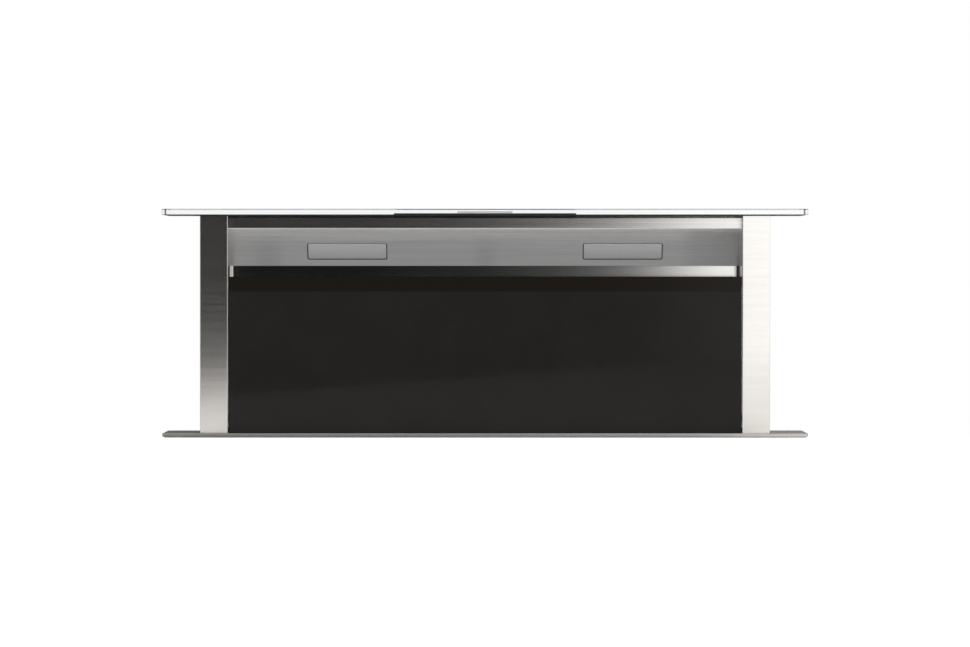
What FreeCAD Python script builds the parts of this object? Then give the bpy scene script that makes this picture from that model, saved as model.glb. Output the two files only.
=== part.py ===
import FreeCAD, Part
import Sketcher
import math
import os
import re

# A worktop downdraft vent, drawn raised. Millimetres, +X right, -Y front, +Z up.
# The origin is the middle of the trim's seal, at the worktop's surface.
os.makedirs("parts", exist_ok=True)
doc = FreeCAD.newDocument("downdraft_vent")
Vector = FreeCAD.Vector

# Driving sizes: name, value.
sizes = {
    # trim on the worktop and the glass cap above it
    "trim_border": 49.6, "trim_lip": 9, "trim_thickness": 4.5, "trim_corner": 4, "trim_bevel": 1,
    "gasket_thickness": 1, "gasket_setback": 3, "gasket_margin": 4,
    "cap_thickness": 8, "cap_corner": 3.5, "cap_bevel": 0.4,
    "seal_thickness": 0.6, "seal_setback": 3, "seal_width": 5, "seal_end_width": 40, "cap_rest_gap": 0.3,
    "carrier_thickness": 1.6, "carrier_inset": 2,
    # rising tower
    "rise": 297.2, "tower_width": 778, "tower_depth": 96, "tower_overlap": 50, "tower_clearance": 2,
    "column_width": 38, "column_wall": 1.2, "column_bend": 1.2, "sheet": 1.2,
    "fascia_gap": 1.7, "fascia_height": 14.9, "fascia_recess": 19, "fascia_flange": 15, "bend_radius": 1.2,
    "bar_length": 65.4, "bar_lean": 38.25, "bar_lip": 10, "slot_height": 14.8,
    # lamps
    "lens_length": 107, "lens_width": 25.8, "lens_thickness": 2, "lens_corner": 2, "lens_gap": 1.4,
    "lens_offset": 189.2, "lens_place": 40.2, "lens_recess": 0.2,
    "holder_rim": 6, "holder_depth": 15, "holder_wall": 1.5, "led_board_thickness": 1.6,
    "led_size": 5, "led_height": 1, "led_count": 8,
    # controls in the cap's front edge
    "control_length": 247.5, "control_lip": 1.9, "control_reach": 22, "control_drop": 2.9,
    "control_bar": 8, "control_setback": 0.3, "control_play": 0.3,
    "control_box_length": 130, "control_box_depth": 32, "control_box_height": 15,
    "touch_length": 75, "touch_height": 2.8, "touch_depth": 11, "board_thickness": 1.6,
    # black glass front panel, hung on hooks
    "panel_glass": 5, "panel_recess": 0.5, "panel_side_gap": 1, "panel_bottom_drop": 20, "panel_edge": 0.5,
    "back_inset": 4, "back_border": 32, "hook_width": 6, "hook_reach": 6.1, "hook_tongue": 7,
    "hook_sheet": 1.2, "hook_low": 60, "hook_high": 170, "hook_seat": 0.3, "unhook_travel": 10,
    "strip_flange": 20, "strip_reach": 14, "strip_gap": 3.3, "strip_top_gap": 14, "strip_foot_gap": 2,
    # grease filters
    "filter_foot": 24, "filter_thickness": 9, "filter_frame": 12, "filter_front_gap": 3.5,
    "filter_top_gap": 4.5, "filter_middle_gap": 2, "filter_end_gap": 16, "filter_mesh": 3,
    "filter_seat": 0.3, "ledge_lip": 8, "ledge_gap": 0.8, "ledge_depth": 18,
    "base_depth": 20, "base_sheet": 1.5, "base_gap": 1,
    # legs, racks and pinions
    "leg_width": 24, "leg_depth": 30, "leg_wall": 2, "leg_front": 12, "leg_insert": 110,
    "rack_width": 15, "rack_back": 8, "rack_end": 12, "gear_module": 2, "pinion_teeth": 20,
    "backlash": 0.2, "pressure_angle": 20, "hub_radius": 12, "hub_length": 8,
    "shaft_radius": 5, "shaft_clearance": 4, "running_gap": 0.05, "shaft_end_gap": 4,
    "bearing_size": 30,
    # guides
    "rail_width": 40, "rail_depth": 16, "rail_wall": 1.5, "rail_lip": 8, "rail_top_gap": 15,
    "rail_bottom_gap": 5, "shoe_play": 0.4, "shoe_length": 50, "shoe_margin": 10,
    # lift drive
    "gearbox_place": 220, "gearbox_width": 60, "gearbox_depth": 52, "gearbox_height": 50,
    "gearbox_edge": 3, "lift_motor_radius": 20, "lift_motor_length": 90, "lift_motor_cap": 12,
    # housing below the worktop
    "chassis_margin": 24, "chassis_play": 3, "chassis_height": 700, "chassis_flange": 15,
    "pan_lip": 15, "foot_height": 35, "foot_width": 45, "foot_place": 340, "foot_sheet": 2,
    "foot_hole_radius": 2.75, "foot_hole_spread": 60, "foot_hole_edge": 14,
    "clamp_drop": 42, "clamp_reach": 22, "clamp_width": 26, "clamp_sheet": 2.5, "clamp_spread": 50,
    "clamp_plate": 34, "clamp_screw_radius": 3, "clamp_pad_radius": 7, "clamp_pad": 3,
    "screw_radius": 2, "screw_head_radius": 4, "screw_head": 2.4, "screw_length": 3.6,
    "screw_play": 0.15, "screw_top": 60, "screw_pitch": 190, "screw_rows": 4, "screw_edge": 8,
    # fan
    "fan_place": 10, "fan_depth": 515, "fan_box": 160, "wheel_radius": 100, "wheel_width": 112,
    "eye_radius": 80, "wheel_gap": 6, "blade_count": 32, "blade_thickness": 1.2, "blade_length": 17,
    "blade_turn": 30, "wheel_disc": 2, "wheel_ring": 4, "wheel_hub": 11, "wheel_hub_length": 18,
    "volute_start": 112, "volute_step": 22, "volute_tongue": 15, "volute_nose": 7, "volute_exit": 185,
    "duct_sheet": 1, "inlet_radius": 76, "inlet_collar": 5, "plate_margin": 9,
    "motor_radius": 45, "motor_length": 44, "motor_out": 16, "motor_flange": 60, "motor_flange_thick": 3,
    "motor_gap": 0.5, "motor_shaft_radius": 4, "motor_shaft_reach": 14,
    "spigot_radius": 75, "spigot_wall": 1.5, "spigot_length": 45, "spigot_flange": 3, "spigot_margin": 4,
    "flap_radius": 70, "flap_thickness": 1.2, "flap_pin_radius": 1.5, "flap_pin_spread": 3.2,
    "flap_knuckle": 2.6, "flap_pin_place": 14, "flap_height": 128,
    # electronics
    "case_width": 180, "case_height": 110, "case_depth": 45, "case_place": 270, "case_drop": 120,
    "case_wall": 1.2, "case_edge": 3, "lid_thickness": 1.5, "gland_radius": 9, "gland_length": 18,
    "gland_bore": 4, "gland_place": 50, "gland_stem": 8,
    "lead_radius": 10, "lead_side": 40, "lead_rise": 30, "cap_lead_radius": 8, "cap_lead_side": 30,
}

# Places worked out from the sizes.
places = {
    "trim_width": "tower_width + 2 * tower_clearance + 2 * trim_border",
    "trim_depth": "tower_depth + 2 * tower_clearance + 2 * trim_lip",
    "chassis_width": "tower_width + 2 * chassis_margin",
    "chassis_depth": "tower_depth + 2 * chassis_play",
    "trim_bottom": "gasket_thickness",
    "trim_top": "trim_bottom + trim_thickness",
    "cap_bottom": "trim_top + cap_rest_gap + seal_thickness + rise",
    "cap_top": "cap_bottom + cap_thickness",
    "cap_side": "trim_width / 2",
    "cap_back": "trim_depth / 2",
    "cap_front": "-trim_depth / 2",
    "column_top": "cap_bottom - carrier_thickness",
    "column_bottom": "-tower_overlap",
    "tower_side": "tower_width / 2",
    "tower_back": "tower_depth / 2",
    "tower_front": "-tower_depth / 2",
    "back_inner": "tower_back - sheet",
    "column_inner": "tower_side - column_width",
    "mouth_side": "tower_side + tower_clearance",
    "mouth_back": "tower_back + tower_clearance",
    "fascia_face": "tower_front + fascia_recess",
    "fascia_top": "column_top - fascia_gap",
    "bend_z": "fascia_top - fascia_height",
    "bar_back": "fascia_face + bar_length * sin(bar_lean)",
    "bar_bottom": "bend_z - bar_length * cos(bar_lean)",
    "panel_top": "bar_bottom - slot_height",
    "panel_low": "-panel_bottom_drop",
    "panel_face": "tower_front + panel_recess",
    "panel_back": "panel_face + panel_glass",
    "panel_side": "column_inner - panel_side_gap",
    "frame_back": "panel_back + sheet",
    "strip_face": "frame_back + strip_gap",
    "tongue_face": "frame_back + hook_reach - hook_sheet",
    "filter_y": "frame_back + filter_front_gap",
    "filter_run": "back_inner - filter_y - filter_thickness - 0.9",
    "filter_climb": "panel_top - filter_top_gap - filter_foot",
    "filter_lean": "atan(filter_run / filter_climb)",
    "filter_length": "sqrt(filter_run ^ 2 + filter_climb ^ 2)",
    "filter_end": "column_inner - filter_end_gap",
    "filter_low": "filter_foot - filter_thickness * sin(filter_lean)",
    "ledge_top": "filter_low - filter_seat",
    "strip_bottom": "ledge_top + ledge_lip + strip_foot_gap",
    "hook_start": "column_inner - strip_reach / 2 - hook_width / 2",
    "pitch_radius": "gear_module * pinion_teeth / 2",
    "pinion_outer": "pitch_radius + gear_module",
    "shaft_y": "leg_front - rack_back - pitch_radius",
    "shaft_z": "column_bottom - rise - pinion_outer - shaft_clearance",
    "leg_outer": "tower_side - column_wall",
    "leg_inner": "leg_outer - leg_width",
    "leg_middle": "leg_outer - leg_width / 2",
    "leg_bottom": "shaft_z - rack_end",
    "rack_tip": "leg_front - rack_back - gear_module",
    "rack_root": "leg_front - rack_back + gear_module * 1.25",
    "chassis_side": "chassis_width / 2",
    "chassis_inner": "chassis_side - sheet",
    "chassis_back": "chassis_depth / 2",
    "chassis_wall": "chassis_back - sheet",
    "chassis_floor": "-chassis_height",
    "rail_face": "chassis_inner - rail_depth",
    "rail_middle": "leg_front + leg_depth / 2",
    "rail_foot": "chassis_floor + sheet + rail_bottom_gap",
    "fan_z": "-fan_depth",
    "fan_front": "chassis_back",
    "fan_back": "chassis_back + fan_box",
    "fan_middle": "chassis_back + fan_box / 2",
    "wheel_front": "fan_front + duct_sheet + wheel_gap",
    "wheel_back": "wheel_front + wheel_width",
    "duct_high": "fan_z - volute_nose - volute_tongue",
    "duct_low": "fan_z - volute_start - 3 * volute_step",
    "duct_middle": "(duct_high + duct_low) / 2",
    "duct_exit": "fan_place - volute_exit",
    "case_low": "-case_drop - case_height",
    "case_back": "chassis_back + case_depth",
}

sheet = doc.addObject("Spreadsheet::Sheet", "Sizes")
for row, (name, value) in enumerate(sizes.items(), start=1):
    sheet.set(f"A{row}", name)
    sheet.set(f"B{row}", str(value))
    sheet.setAlias(f"B{row}", name)
doc.recompute()
nodes = []


def full(text):
    """An expression with each place opened up and each size named in the sheet."""
    def swap(match):
        name = match.group(0)
        if name in places:
            return "(" + full(places[name]) + ")"
        if name in sizes:
            return "Sizes." + name
        return name
    return re.sub(r"[a-z][a-z_0-9]*", swap, str(text))


def keep(thing, label):
    """Register a finished piece under the name of its node."""
    thing.Label = label
    nodes.append(thing)
    return thing


def box(name, x, y, z):
    """A block between pairs of expressions, low and high, along each axis."""
    made = doc.addObject("Part::Box", name)
    for prop, axis, (low, high) in (("Length", "x", x), ("Width", "y", y), ("Height", "z", z)):
        made.setExpression(prop, full(f"({high}) - ({low})"))
        made.setExpression("Placement.Base." + axis, full(low))
    return made


turns = {
    "x": FreeCAD.Rotation(Vector(0, 1, 0), 90),
    "y": FreeCAD.Rotation(Vector(1, 0, 0), -90),
    "z": FreeCAD.Rotation(),
}


def rod(name, axis, radius, low, high, across):
    """A round bar from low to high along an axis, through a point given on the other two."""
    made = doc.addObject("Part::Cylinder", name)
    made.Placement = FreeCAD.Placement(Vector(), turns[axis])
    made.setExpression("Radius", full(radius))
    made.setExpression("Height", full(f"({high}) - ({low})"))
    made.setExpression("Placement.Base." + axis, full(low))
    others = [a for a in "xyz" if a != axis]
    for other, place in zip(others, across):
        made.setExpression("Placement.Base." + other, full(place))
    return made


def fuse(name, *parts):
    made = doc.addObject("Part::MultiFuse", name)
    made.Shapes = list(parts)
    made.Refine = True
    return made


def cut(name, base, *tools):
    made = doc.addObject("Part::Cut", name)
    made.Base = base
    made.Tool = tools[0] if len(tools) == 1 else fuse(name + "_tools", *tools)
    made.Refine = True
    return made


def mirror(name, source):
    """The same piece on the left of the vent."""
    made = doc.addObject("Part::Mirroring", name)
    made.Source = source
    made.Normal = Vector(1, 0, 0)
    made.Base = Vector(0, 0, 0)
    return made


def both(name, source):
    """Keep a right-hand piece and its left-hand mirror image."""
    keep(source, name + "_right")
    keep(mirror(name + "_mirror", source), name + "_left")


def draw(sketch, points):
    """A closed outline through points, each held from the sketch's origin."""
    count = len(points)
    first = sketch.GeometryCount
    spread = [2 * math.pi * (i + 0.5) / count for i in range(count)]
    start = [Vector(count * math.cos(a), count * math.sin(a), 0) for a in spread]
    for i in range(count):
        sketch.addGeometry(Part.LineSegment(start[i], start[(i + 1) % count]), False)
    for i in range(count):
        after = first + (i + 1) % count
        sketch.addConstraint(Sketcher.Constraint("Coincident", first + i, 2, after, 1))
    for i in range(count):
        for kind, value, place in zip(("DistanceX", "DistanceY"), start[i], points[i]):
            made = sketch.addConstraint(Sketcher.Constraint(kind, -1, 1, first + i, 1, value))
            sketch.setExpression(f"Constraints[{made}]", full(place))


def prism(name, role, outlines, low, high):
    """A body padded from low to high, square to one of its own origin planes."""
    body = doc.addObject("PartDesign::Body", name)
    plane = [f for f in body.Origin.OriginFeatures if f.Role == role][0]
    sketch = body.newObject("Sketcher::SketchObject", name + "_outline")
    sketch.AttachmentSupport = (plane, [""])
    sketch.MapMode = "FlatFace"
    start = f"-({high})" if role == "XZ_Plane" else low
    sketch.setExpression("AttachmentOffset.Base.z", full(start))
    for points in outlines:
        draw(sketch, points)
    pad = body.newObject("PartDesign::Pad", name + "_pad")
    pad.Profile = sketch
    pad.setExpression("Length", full(f"({high}) - ({low})"))
    return body


def rectangle(u, v):
    """The four corners between two pairs of expressions."""
    return [(u[0], v[0]), (u[1], v[0]), (u[1], v[1]), (u[0], v[1])]


def dress(body, kind, size, pick):
    """Round or bevel the body's edges that pick accepts."""
    doc.recompute()
    base = body.Tip
    chosen = [f"Edge{i}" for i, edge in enumerate(base.Shape.Edges, start=1) if pick(edge)]
    made = body.newObject("PartDesign::" + kind, f"{body.Name}_{kind}")
    made.Base = (base, chosen)
    made.setExpression("Radius" if kind == "Fillet" else "Size", full(size))
    return made


def runs_along(edge, axis):
    """True for a straight edge along x, y or z."""
    if len(edge.Vertexes) != 2 or edge.Curve.TypeId != "Part::GeomLine":
        return False
    step = edge.Vertexes[1].Point - edge.Vertexes[0].Point
    return abs(abs(getattr(step, axis)) - step.Length) < 1e-6


def number(name):
    """A size read back from the sheet."""
    return float(sheet.get(name))


def symmetric(reach):
    return (f"-({reach})", reach)


# Trim, seal and glass cap

def make_trim():
    outer = rectangle(symmetric("trim_width / 2"), symmetric("trim_depth / 2"))
    inner = rectangle(symmetric("mouth_side"), symmetric("mouth_back"))
    trim = prism("trim", "XY_Plane", [outer, inner], "trim_bottom", "trim_top")
    reach = number("tower_width") / 2 + number("tower_clearance") + number("trim_border") - 1
    dress(trim, "Fillet", "trim_corner", lambda e: runs_along(e, "z") and abs(e.CenterOfMass.x) > reach)
    top = trim_top_height() - 1e-4
    inside = number("tower_width") / 2 + number("tower_clearance") + 0.01
    deep = number("tower_depth") / 2 + number("tower_clearance") + 0.01

    def outer_rim(edge):
        middle = edge.CenterOfMass
        return middle.z > top and (abs(middle.x) > inside or abs(middle.y) > deep)
    dress(trim, "Chamfer", "trim_bevel", outer_rim)
    keep(trim, "worktop_trim")
    outer = rectangle(symmetric("trim_width / 2 - gasket_setback"),
                      symmetric("trim_depth / 2 - gasket_setback"))
    inner = rectangle(symmetric("chassis_side + gasket_margin"),
                      symmetric("chassis_back + 1"))
    keep(prism("gasket", "XY_Plane", [outer, inner], "0", "gasket_thickness"), "trim_gasket")


def trim_top_height():
    return number("gasket_thickness") + number("trim_thickness")


def make_cap():
    outline = rectangle(symmetric("cap_side"), symmetric("cap_back"))
    plate = prism("cap_plate", "XY_Plane", [outline], "cap_bottom", "cap_top")
    dress(plate, "Fillet", "cap_corner", lambda e: runs_along(e, "z"))
    low = trim_top_height() + number("cap_rest_gap") + number("seal_thickness") + number("rise")
    middle = low + number("cap_thickness") / 2
    dress(plate, "Chamfer", "cap_bevel", lambda e: abs(e.CenterOfMass.z - middle) > 1)
    bay = box("cap_bay", symmetric("control_length / 2 + control_play"),
              ("cap_front - 1", "control_reach + control_play"),
              ("cap_bottom - 1", "cap_bottom + control_lip + 0.1"))
    window = box("cap_window", symmetric("touch_length / 2 + control_play"),
                 ("cap_front - 1", "cap_front + control_setback + touch_depth + control_play"),
                 ("cap_bottom", "cap_bottom + control_lip + touch_height + 0.1"))
    keep(cut("cap", plate, bay, window), "cap_glass")

    ring = [rectangle(symmetric("cap_side - seal_setback"), symmetric("cap_back - seal_setback")),
            rectangle(symmetric("cap_side - seal_setback - seal_end_width"),
                      symmetric("cap_back - seal_setback - seal_width"))]
    seal = prism("seal_ring", "XY_Plane", ring, "cap_bottom - seal_thickness", "cap_bottom")
    keep(seal, "cap_seal")

    side = "tower_side - carrier_inset"
    back = "tower_back - carrier_inset"
    plate = box("carrier_plate", symmetric(side), symmetric(back), ("column_top", "cap_bottom"))
    front_bay = box("carrier_bay", symmetric("control_length / 2 + 2 * control_play"),
                    (f"-({back}) - 1", "tower_front - 1 + control_bar + 2 * control_play"),
                    ("column_top - 1", "cap_bottom + 1"))
    hole = box("carrier_hole", symmetric("control_box_length / 2 + control_play"),
               ("control_reach - control_box_depth - control_play", "control_reach + control_play"),
               ("column_top - 1", "cap_bottom + 1"))
    lead = rod("carrier_lead", "z", "cap_lead_radius", "column_top - 1", "cap_bottom + 1",
               ("column_inner - cap_lead_side", "cap_lead_side"))
    keep(cut("carrier", plate, front_bay, hole, lead), "cap_carrier")


def make_controls():
    low = "cap_bottom - control_box_height"
    reach = symmetric("control_length / 2")
    lip = box("control_top", reach, ("cap_front + control_setback", "control_reach"),
              ("cap_bottom", "cap_bottom + control_lip"))
    bar = box("control_front", reach, ("tower_front - 1", "tower_front - 1 + control_bar"),
              ("cap_bottom - control_drop", "cap_bottom"))
    well = box("control_well", symmetric("control_box_length / 2"),
               ("control_reach - control_box_depth", "control_reach"), (low, "cap_bottom"))
    hollow = box("control_hollow", symmetric("control_box_length / 2 - 2"),
                 ("control_reach - control_box_depth + 2", "control_reach - 2"),
                 (f"{low} + 2", "cap_bottom + 0.5"))
    keep(cut("controls", fuse("control_solid", lip, bar, well), hollow), "control_housing")
    board = box("board_plate", symmetric("control_box_length / 2 - 2.3"),
                ("control_reach - control_box_depth + 2.3", "control_reach - 2.3"),
                (f"{low} + 5", f"{low} + 5 + board_thickness"))
    posts = [rod(f"board_post_{i}", "z", 2.5, f"{low} + 2", f"{low} + 5", (x, "control_reach - 8"))
             for i, x in enumerate(("-50", "50"))]
    chip = box("board_chip", ("-14", "14"), ("control_reach - 22", "control_reach - 10"),
               (f"{low} + 5 + board_thickness", f"{low} + 8 + board_thickness"))
    keep(fuse("board", board, chip, *posts), "control_board")
    insert = box("touch", symmetric("touch_length / 2"),
                 ("cap_front + control_setback", "cap_front + control_setback + touch_depth"),
                 ("cap_bottom + control_lip", "cap_bottom + control_lip + touch_height"))
    keep(insert, "touch_insert")


# Tower

def make_columns():
    wall = "column_wall"
    outer = rectangle(("column_inner", "tower_side"), symmetric("tower_back"))
    tube = prism("column_tube", "XY_Plane", [outer], "column_bottom", "column_top")
    dress(tube, "Fillet", "column_bend", lambda e: runs_along(e, "z"))
    bore = box("column_bore", (f"column_inner + {wall}", f"tower_side - {wall}"),
               symmetric(f"tower_back - {wall}"), ("column_bottom - 1", "column_top + 1"))
    holes = [rod(f"column_hole_{i}", "x", "screw_radius + screw_play", "column_inner - 1",
                 f"column_inner + {wall} + 1", ("strip_face + strip_flange / 2", z))
             for i, z in enumerate(strip_screws())]
    both("column", cut("column_right", tube, bore, *holes))


def strip_screws():
    """Heights of the screws that hold each hook strip."""
    return ["strip_bottom + 18", "(hook_low + hook_high) / 2 + 6", "panel_top - strip_top_gap - 12"]


def make_fascia():
    lean = "bar_lean"
    end_y = "bar_back"
    inner_bend = f"bend_z + sheet * tan({lean} / 2)"
    slide = f"(bar_length * cos({lean}) - sheet + sheet * sin({lean})) / cos({lean})"
    inner_end = f"fascia_face + sheet * cos({lean}) + ({slide}) * sin({lean})"
    outline = [
        ("fascia_face", "fascia_top"), ("fascia_face", "bend_z"), (end_y, "bar_bottom"),
        (f"{end_y} + bar_lip", "bar_bottom"), (f"{end_y} + bar_lip", "bar_bottom + sheet"),
        (inner_end, "bar_bottom + sheet"), ("fascia_face + sheet", inner_bend),
        ("fascia_face + sheet", "fascia_top - sheet"),
        ("fascia_face + fascia_flange", "fascia_top - sheet"),
        ("fascia_face + fascia_flange", "fascia_top"),
    ]
    sheet_bar = prism("fascia_sheet", "YZ_Plane", [outline], "-column_inner", "column_inner")
    front = -number("tower_depth") / 2 + number("fascia_recess")

    def bends(edge):
        return runs_along(edge, "x") and abs(edge.CenterOfMass.y - front) < 0.01
    dress(sheet_bar, "Fillet", "bend_radius", bends)
    windows = [lamp_block(f"fascia_window_{i}", x, "lens_gap", "-4", "4", "lens_corner + lens_gap")
               for i, x in enumerate(("lens_offset", "-lens_offset"))]
    keep(cut("fascia", sheet_bar, *windows), "fascia_lamp_bar")


def on_bar(along, out):
    """A point on the slanted lamp bar: down the slope, and out from its face."""
    y = f"fascia_face + ({along}) * sin(bar_lean) - ({out}) * cos(bar_lean)"
    z = f"bend_z - ({along}) * cos(bar_lean) - ({out}) * sin(bar_lean)"
    return (y, z)


def lamp_block(name, middle, grow, back, front, corner=None):
    """A block in line with a lamp, grown past the lens all round, between two depths."""
    top = f"lens_place - lens_width / 2 - ({grow})"
    low = f"lens_place + lens_width / 2 + ({grow})"
    outline = [on_bar(top, front), on_bar(low, front), on_bar(low, back), on_bar(top, back)]
    half = f"lens_length / 2 + ({grow})"
    made = prism(name, "YZ_Plane", [outline], f"{middle} - ({half})", f"{middle} + ({half})")
    if corner:
        away = Vector(0, -math.cos(math.radians(number("bar_lean"))),
                      -math.sin(math.radians(number("bar_lean"))))

        def across(edge):
            if len(edge.Vertexes) != 2:
                return False
            step = edge.Vertexes[1].Point - edge.Vertexes[0].Point
            return abs(abs(step.dot(away)) - step.Length) < 1e-6
        dress(made, "Fillet", corner, across)
    return made


def make_lamps():
    seat = "-(lens_recess + lens_thickness)"
    deep = "-(sheet + holder_depth)"
    lens = lamp_block("lens", "lens_offset", "0", seat, "-lens_recess", "lens_corner")
    both("lamp_lens", lens)
    holder = lamp_block("holder_block", "lens_offset", "holder_rim", deep, "-sheet")
    pocket = lamp_block("holder_pocket", "lens_offset", "lens_gap", seat, "1")
    cavity = lamp_block("holder_cavity", "lens_offset", "-3", f"{deep} + holder_wall", "1")
    both("lamp_holder", cut("holder", holder, pocket, cavity))
    floor = f"{deep} + holder_wall"
    board = lamp_block("led_plate", "lens_offset", "-3.5", floor, f"{floor} + led_board_thickness")
    chips = []
    count = int(number("led_count"))
    for i in range(count):
        middle = f"lens_offset + (lens_length - 20) * ({i} / {count - 1} - 0.5)"
        top = "lens_place - led_size / 2"
        low = "lens_place + led_size / 2"
        back = f"{floor} + led_board_thickness"
        front = f"{back} + led_height"
        outline = [on_bar(top, front), on_bar(low, front), on_bar(low, back), on_bar(top, back)]
        chips.append(prism(f"led_{i}", "YZ_Plane", [outline], f"{middle} - led_size / 2",
                           f"{middle} + led_size / 2"))
    both("led_board", fuse("led_strip", board, *chips))


def make_back():
    plate = box("back_plate", symmetric("column_inner"), ("back_inner", "tower_back"),
                ("column_bottom", "column_top"))
    rib = box("back_rib", symmetric("column_inner"), ("back_inner - 8", "back_inner"),
              ("fascia_top - 4", "fascia_top - 4 + sheet"))
    keep(fuse("back", plate, rib), "rear_panel")


def make_ledge():
    front = "frame_back + ledge_gap"
    back = f"{front} + ledge_depth"
    low = "ledge_top - sheet"
    outline = [(front, f"{low} - 6"), (f"{front} + sheet", f"{low} - 6"), (f"{front} + sheet", low),
               (back, low), (back, "ledge_top + ledge_lip"), (f"{back} - sheet", "ledge_top + ledge_lip"),
               (f"{back} - sheet", "ledge_top"), (front, "ledge_top")]
    keep(prism("ledge", "YZ_Plane", [outline], "-column_inner", "column_inner"), "filter_ledge")


def on_filter(along, back):
    """A point on the leaning filter: up its front face, and back through its thickness."""
    y = f"filter_y + ({along}) * sin(filter_lean) + ({back}) * cos(filter_lean)"
    z = f"filter_foot + ({along}) * cos(filter_lean) - ({back}) * sin(filter_lean)"
    return (y, z)


def filter_block(name, low, high, front, back, x):
    outline = [on_filter(low, front), on_filter(high, front), on_filter(high, back), on_filter(low, back)]
    return prism(name, "YZ_Plane", [outline], x[0], x[1])


def make_filters():
    x = ("filter_middle_gap / 2", "filter_end")
    frame = filter_block("filter_body", "0", "filter_length", "0", "filter_thickness", x)
    inside = (f"{x[0]} + filter_frame", f"{x[1]} - filter_frame")
    middle = "(filter_thickness - filter_mesh) / 2"
    front_bay = filter_block("filter_front", "filter_frame", "filter_length - filter_frame",
                             "-1", middle, inside)
    back_bay = filter_block("filter_back", "filter_frame", "filter_length - filter_frame",
                            f"filter_thickness - ({middle})", "filter_thickness + 1", inside)
    grip = "(filter_middle_gap / 2 + filter_end) / 2"
    slots = [filter_block(f"filter_grip_{i}", "filter_length - filter_frame + 3", "filter_length - 3",
                          "-1", "3", (f"{grip} + {dx} - 12", f"{grip} + {dx} + 12"))
             for i, dx in enumerate((-40, 40))]
    both("grease_filter", cut("filter", frame, front_bay, back_bay, *slots))


def make_hook_strips():
    top = "panel_top - strip_top_gap"
    flange = box("strip_side", ("column_inner - hook_sheet", "column_inner"),
                 ("strip_face", "strip_face + strip_flange"), ("strip_bottom", top))
    plate = box("strip_plate", ("column_inner - strip_reach", "column_inner"),
                ("strip_face", "strip_face + hook_sheet"), ("strip_bottom", top))
    slots = []
    for name in ("hook_low", "hook_high"):
        slots.append(box("slot_" + name, ("hook_start - 1", "hook_start + hook_width + 1"),
                         ("strip_face - 1", "strip_face + hook_sheet + 1"),
                         (f"{name} - hook_seat", f"{name} + hook_sheet + unhook_travel + 0.8")))
    holes = [rod(f"strip_hole_{i}", "x", "screw_radius + screw_play", "column_inner - hook_sheet - 1",
                 "column_inner + 1", ("strip_face + strip_flange / 2", z))
             for i, z in enumerate(strip_screws())]
    both("hook_strip", cut("strip", fuse("strip_solid", flange, plate), *slots, *holes))


def make_panel():
    outline = rectangle(symmetric("panel_side"), ("panel_low", "panel_top"))
    glass = prism("glass", "XZ_Plane", [outline], "panel_face", "panel_back")
    front = -number("tower_depth") / 2 + number("panel_recess") + 0.01
    dress(glass, "Chamfer", "panel_edge", lambda e: e.CenterOfMass.y < front)
    keep(glass, "glass_panel")
    side = "panel_side - back_inset"
    low = "panel_low + back_inset"
    high = "panel_top - back_inset"
    frame = prism("frame_sheet", "XZ_Plane",
                  [rectangle(symmetric(side), (low, high)),
                   rectangle(symmetric(f"{side} - back_border"),
                             (f"{low} + back_border", f"{high} - back_border"))],
                  "panel_back", "frame_back")
    hooks = []
    for side_name, sign in (("right", 1), ("left", -1)):
        for name in ("hook_low", "hook_high"):
            x = ("hook_start", "hook_start + hook_width")
            if sign < 0:
                x = ("-hook_start - hook_width", "-hook_start")
            hooks.append(box(f"tab_{side_name}_{name}", x, ("frame_back", "frame_back + hook_reach"),
                             (name, f"{name} + hook_sheet")))
            hooks.append(box(f"tongue_{side_name}_{name}", x, ("tongue_face", "frame_back + hook_reach"),
                             (f"{name} - hook_tongue", name)))
    keep(fuse("panel_frame", frame, *hooks), "panel_carrier")


def make_base():
    front = "panel_face"
    back = "panel_face + base_depth"
    low = "column_bottom"
    high = "panel_low - base_gap"
    wall = "base_sheet"
    outline = [(front, low), (back, low), (back, f"{low} + {wall}"), (f"{front} + {wall}", f"{low} + {wall}"),
               (f"{front} + {wall}", f"{high} - {wall}"), (back, f"{high} - {wall}"), (back, high),
               (front, high)]
    keep(prism("base", "YZ_Plane", [outline], "-column_inner", "column_inner"), "tower_base")


def make_legs():
    tube = box("leg_tube", ("leg_inner", "leg_outer"), ("leg_front", "leg_front + leg_depth"),
               ("leg_bottom", "column_bottom + leg_insert"))
    bore = box("leg_bore", ("leg_inner + leg_wall", "leg_outer - leg_wall"),
               ("leg_front + leg_wall", "leg_front + leg_depth - leg_wall"),
               ("leg_bottom - 1", "column_bottom + leg_insert + 1"))
    both("leg", cut("leg_right", tube, bore))


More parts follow.
